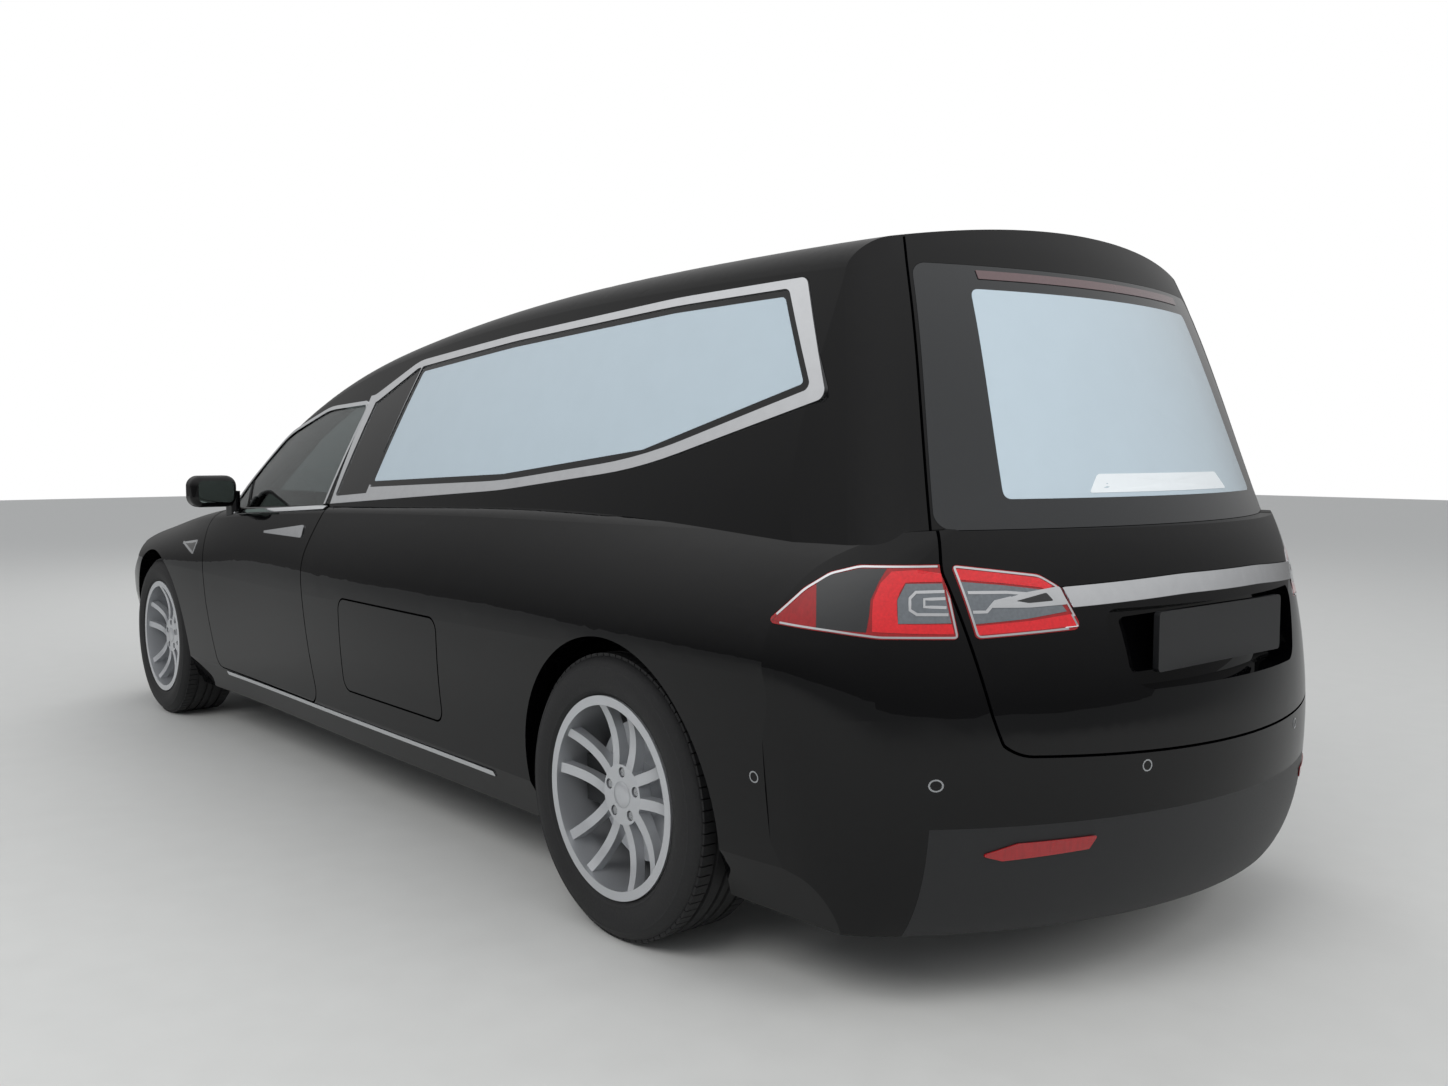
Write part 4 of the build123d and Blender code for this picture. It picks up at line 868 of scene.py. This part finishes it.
@dataclass
class Wheel:
    """One road wheel's tyre, nuts and cap."""

    end: str
    side: Side
    axle: float
    track: float
    radius: float = 0.3515
    groove: float = 0.0075
    segments: int = 120
    blocks: int = 84
    block_width: float = 0.034
    block_middle: float = 0.0785
    block_share: float = 0.86
    block_sink: float = 0.0004
    nuts: int = 5
    nut_circle: float = 0.056
    nut_radius: float = 0.0105
    nut_length: float = 0.012
    nut_sink: float = 0.0095
    hub_front: float = 0.070
    cap_radius: float = 0.033
    cap_height: float = 0.005

    @property
    def label(self) -> str:
        """The wheel's place, as in the CAD node names."""
        return f"{self.end}_{self.side.name.lower()}"

    @property
    def centre(self) -> Point:
        """The wheel's centre."""
        return (self.axle, self.side.value * self.track / 2, self.radius)

    def profile(self) -> list[Flat]:
        """Outline of the tyre: radius and distance along the axle.

        Returns:
            The outline from the inner bead over the tread to the outer bead.
        """
        floor = self.radius - self.groove
        half = [(0.2418, 0.105), (0.2498, 0.105), (0.258, 0.1125), (0.263, 0.1165), (0.2665, 0.1165),
                (0.27, 0.1178), (0.285, 0.1212), (0.3, 0.1222), (0.315, 0.1195), (0.318, 0.1185),
                (0.321, 0.1190), (0.3335, 0.1105), (floor - 0.001, 0.0985), (floor, 0.0955), (floor, 0.051),
                (self.radius, 0.050), (self.radius, 0.0205), (floor, 0.0195), (floor, 0.0105),
                (self.radius, 0.0095)]
        return [(r, -a) for r, a in half] + [(r, a) for r, a in reversed(half)]

    def lathe(self, bm: Any, outline: Sequence[Flat], segments: int) -> None:
        """Turns an outline about the wheel's axle.

        Args:
            bm: mesh that gets the faces.
            outline: radius and distance along the axle, closed from its end to its start.
            segments: faces round the axle.
        """
        x, y, z = self.centre
        rings = []
        for k in range(segments):
            a = 2 * math.pi * k / segments
            right, up = math.sin(a), math.cos(a)
            rings.append([bm.verts.new((x + r * right, y + s, z + r * up)) for r, s in outline])
        count = len(outline)
        for k in range(segments):
            here, after = rings[k], rings[(k + 1) % segments]
            for i in range(count):
                j = (i + 1) % count
                bm.faces.new((here[i], here[j], after[j], after[i]))

    def build(self, tread: RingGroup, nuts: RingGroup) -> None:
        """Makes the tyre with its tread blocks, the nuts and the cap.

        Args:
            tread: nodes for the tread blocks.
            nuts: nodes for the wheel nuts.
        """
        self.tyre(tread)
        out = self.side.value
        body = f"wheel_{self.label}"
        made = nuts.mesh("nuts", Count=self.nuts, Radius=self.nut_circle,
                         Size=(self.nut_radius, self.nut_length, 0.0),
                         Offset=out * (self.hub_front - self.nut_sink), Start=0.0, Centre=self.centre,
                         Material=STEEL.build())
        bm = bmesh.new()
        bm.from_mesh(made)
        bpy.data.meshes.remove(made)
        finish_piece(f"wheel_nuts_{self.label}", bm, STEEL, body)
        face = self.hub_front
        dome = [(0.0005, face + self.cap_height), (0.014, face + self.cap_height), (0.027, face + 0.004),
                (self.cap_radius, face + 0.0005), (self.cap_radius - 0.002, face + 0.0002),
                (0.0005, face + 0.0002)]
        bm = bmesh.new()
        self.lathe(bm, [(r, out * s) for r, s in dome], 48)
        finish_piece(f"wheel_cap_{self.label}", bm, ALLOY, body)

    def tyre(self, tread: RingGroup) -> None:
        """Makes the tyre in place of its CAD solid.

        Args:
            tread: nodes for the tread blocks.
        """
        bm = bmesh.new()
        self.lathe(bm, self.profile(), self.segments)
        length = 2 * math.pi * self.radius / self.blocks * self.block_share
        reach = self.radius - self.groove / 2 - self.block_sink
        for sign, start in ((1, 0.0), (-1, math.pi / self.blocks)):
            made = tread.mesh("tread", Count=self.blocks, Radius=reach, Start=start, Centre=self.centre,
                              Size=(length, self.block_width, self.groove),
                              Offset=sign * self.block_middle, Material=RUBBER.build())
            bm.from_mesh(made)
            bpy.data.meshes.remove(made)
        piece = finish_piece(f"tyre_with_tread_{self.label}", bm, RUBBER, f"wheel_{self.label}",
                             sharp_deg=28.0)
        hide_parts(f"tyre_{self.label}")


@dataclass
class Seats:
    """Padded front seats, pleated, with side bolsters."""

    rows: tuple[Flat, ...] = (
        (0.675, 0.311), (0.685, 0.56), (0.285, 0.53), (0.135, 1.12), (0.035, 1.12), (0.165, 0.48),
        (0.185, 0.311))
    middle: float = 0.39
    width: float = 0.48
    stations: int = 49
    corner: float = 0.045
    round_end: float = 0.045
    end_share: float = 0.2
    pleats: int = 5
    pleated_share: float = 0.6
    pleat_depth: float = 0.006
    bolster: float = 0.012
    bolster_share: float = 0.12

    def build(self) -> None:
        """Makes both seats as one piece in place of the CAD solids."""
        bm = bmesh.new()
        outline = rounded([(B_PILLAR + x, z) for x, z in self.rows], self.corner)
        outline = dense([*outline, outline[0]])[:-1]
        for side in Side:
            self.form(bm, outline, side)
        piece = finish_piece("padded_front_seats", bm, LEATHER, "body", 60.0)
        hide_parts("seats")

    def depth(self, t: float) -> float:
        """How far the cover is drawn in at one station.

        Args:
            t: place across the seat, from -1 to 1.

        Returns:
            The depth, with rounded ends, bolsters and pleats.
        """
        edge = max(0.0, (abs(t) - (1 - self.end_share)) / self.end_share)
        drawn = self.round_end * (1 - math.sqrt(max(0.0, 1 - edge**2)))
        if abs(t) < self.pleated_share:
            wave = abs(math.cos(math.pi * self.pleats * t / (2 * self.pleated_share))) ** 8
            return drawn + self.bolster + self.pleat_depth * wave
        return drawn + self.bolster * max(0.0, 1 - (abs(t) - self.pleated_share) / self.bolster_share)

    def form(self, bm: Any, outline: Sequence[Flat], side: Side) -> None:
        """Carries the outline across one seat.

        Args:
            bm: mesh that gets the faces.
            outline: the seat's side view.
            side: the seat's side of the car.
        """
        rings = []
        for k in range(self.stations):
            t = 2 * k / (self.stations - 1) - 1
            y = side.value * self.middle + t * self.width / 2
            drawn = inset(list(reversed(outline)), self.depth(t))
            rings.append([bm.verts.new((x, y, z)) for x, z in drawn])
        count = len(outline)
        for here, after in zip(rings, rings[1:]):
            for i in range(count):
                j = (i + 1) % count
                bm.faces.new((here[i], here[j], after[j], after[i]))
        bm.faces.new(rings[0])
        bm.faces.new(list(reversed(rings[-1])))


@dataclass
class DoorMirrors:
    """Mirror glass in the housings."""

    face_x: float = 0.9605
    middle: Flat = (0.985, 1.03)
    half: Flat = (0.068, 0.043)
    corner: float = 0.022
    thick: float = 0.002

    def build(self) -> None:
        """Sets one glass in each housing."""
        y, z = self.middle
        wide, tall = self.half
        corners = [(y - wide, z - tall), (y + wide, z - tall), (y + wide, z + tall), (y - wide, z + tall)]
        outline = rounded(corners, self.corner)
        count = len(outline)
        for side in Side:
            bm = bmesh.new()
            back = [bm.verts.new((self.face_x, side.value * u, v)) for u, v in outline]
            front = [bm.verts.new((self.face_x - self.thick, side.value * u, v)) for u, v in outline]
            bm.faces.new(back)
            bm.faces.new(list(reversed(front)))
            for i in range(count):
                j = (i + 1) % count
                bm.faces.new((back[i], front[i], front[j], back[j]))
            name = side.name.lower()
            finish_piece(f"mirror_glass_{name}", bm, MIRROR, f"door_{name}")


@dataclass
class Studio:
    """Floor, light and camera."""

    eye: Point = (-4.209, 2.722, 1.195)
    yaw: float = -0.7008
    pitch: float = -0.0726
    focal_px: float = 1283.06
    image_px: float = 1448.0
    sensor_mm: float = 36.0
    floor_half: float = 30.0
    horizon: float = 0.2
    bright_height: float = 0.8
    fill: float = 0.6
    # Columns: name, place, aim, size, watts
    lamps: tuple[tuple[str, Point, Point, Flat, float], ...] = (
        ("sky_left", (-3.0, 6.5, 6.0), (0.0, 0.0, 0.8), (6.0, 4.0), 300.0),
        ("sky_rear", (-8.5, -1.0, 5.0), (-1.5, 0.0, 0.8), (5.0, 4.0), 220.0),
        ("sky_front", (6.0, -4.0, 6.5), (0.5, 0.0, 0.8), (6.0, 5.0), 220.0))

    def build(self) -> None:
        """Makes the floor, the lights, the world and the camera."""
        self.floor()
        self.world()
        for row in self.lamps:
            self.lamp(*row)
        self.camera()
        bpy.context.scene.view_settings.view_transform = "Standard"

    def floor(self) -> None:
        """Lays the pale floor."""
        mesh = bpy.data.meshes.new("floor")
        h = self.floor_half
        mesh.from_pydata([(-h, -h, 0), (h, -h, 0), (h, h, 0), (-h, h, 0)], [], [(0, 1, 2, 3)])
        obj = bpy.data.objects.new("floor", mesh)
        bpy.context.scene.collection.objects.link(obj)
        mesh.materials.append(CONCRETE.build())

    def world(self) -> None:
        """Makes a white backdrop for camera, gloss and glass, and an even light for the rest."""
        world = bpy.data.worlds.new("studio")
        bpy.context.scene.world = world
        world.use_nodes = True
        tree = world.node_tree
        tree.nodes.clear()
        path = add_node(tree, "ShaderNodeLightPath")
        place = add_node(tree, "ShaderNodeTexCoord")
        split = add_node(tree, "ShaderNodeSeparateXYZ", links={"Vector": place.outputs["Generated"]})
        rise = add_node(tree, "ShaderNodeMapRange", {
            "From Min": 0.0, "From Max": self.bright_height, "To Min": self.horizon},
            {"Value": split.outputs["Z"]})
        first = add_node(tree, "ShaderNodeMath", {"operation": "MAXIMUM"},
                         {0: path.outputs["Is Camera Ray"], 1: path.outputs["Is Glossy Ray"]})
        seen = add_node(tree, "ShaderNodeMath", {"operation": "MAXIMUM"},
                        {0: first.outputs[0], 1: path.outputs["Is Transmission Ray"]})
        strength = add_node(tree, "ShaderNodeMath", {"operation": "MAXIMUM"},
                            {0: rise.outputs["Result"], 1: path.outputs["Is Camera Ray"]})
        show = add_node(tree, "ShaderNodeBackground", {"Color": linear("ffffff")},
                        {"Strength": strength.outputs[0]})
        light = add_node(tree, "ShaderNodeBackground", {"Color": linear("f2f5fa"), "Strength": self.fill})
        mixed = add_node(tree, "ShaderNodeMixShader", links={
            0: seen.outputs[0], 1: light.outputs[0], 2: show.outputs[0]})
        add_node(tree, "ShaderNodeOutputWorld", links={"Surface": mixed.outputs[0]})

    def lamp(self, name: str, place: Point, aim: Point, size: Flat, power: float) -> None:
        """Hangs one soft area lamp.

        Args:
            name: the lamp's name.
            place: where it hangs.
            aim: the point that it faces.
            size: its two sides.
            power: its power in watts.
        """
        data = bpy.data.lights.new(name, "AREA")
        data.shape = "RECTANGLE"
        data.size, data.size_y = size
        data.energy = power
        obj = bpy.data.objects.new(name, data)
        obj.location = place
        obj.rotation_euler = (Vector(aim) - Vector(place)).to_track_quat("-Z", "Y").to_euler()
        obj.visible_glossy = False
        bpy.context.scene.collection.objects.link(obj)

    def camera(self) -> None:
        """Sets the camera at the photograph's place and angle."""
        data = bpy.data.cameras.new("camera")
        data.sensor_fit = "HORIZONTAL"
        data.sensor_width = self.sensor_mm
        data.lens = self.focal_px / self.image_px * self.sensor_mm
        data.clip_end = 200.0
        obj = bpy.data.objects.new("camera", data)
        flat = math.cos(self.pitch)
        look = Vector((math.cos(self.yaw) * flat, math.sin(self.yaw) * flat, math.sin(self.pitch)))
        obj.location = self.eye
        obj.rotation_euler = look.to_track_quat("-Z", "Y").to_euler()
        bpy.context.scene.collection.objects.link(obj)
        bpy.context.scene.camera = obj


def build_wheels() -> None:
    """Makes the four wheels' pieces."""
    tread = RingGroup("tread_ring", nut=False)
    nuts = RingGroup("nut_ring", nut=True)
    for end, axle, track in (("front", FRONT_AXLE, 1.662), ("rear", REAR_AXLE, 1.7)):
        for side in Side:
            Wheel(end, side, axle, track).build(tread, nuts)


def main() -> None:
    """Dresses the car and sets the studio."""
    logging.basicConfig(level=logging.INFO, format="%(name)s: %(message)s")
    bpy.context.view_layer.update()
    Coachwork().dress()
    build_wheels()
    Glazing().build()
    TailLamps().build()
    Headlamps().build()
    FenderLamps().build()
    RearSensors().build()
    Seats().build()
    DoorMirrors().build()
    Studio().build()


if __name__ == "__main__":
    main()
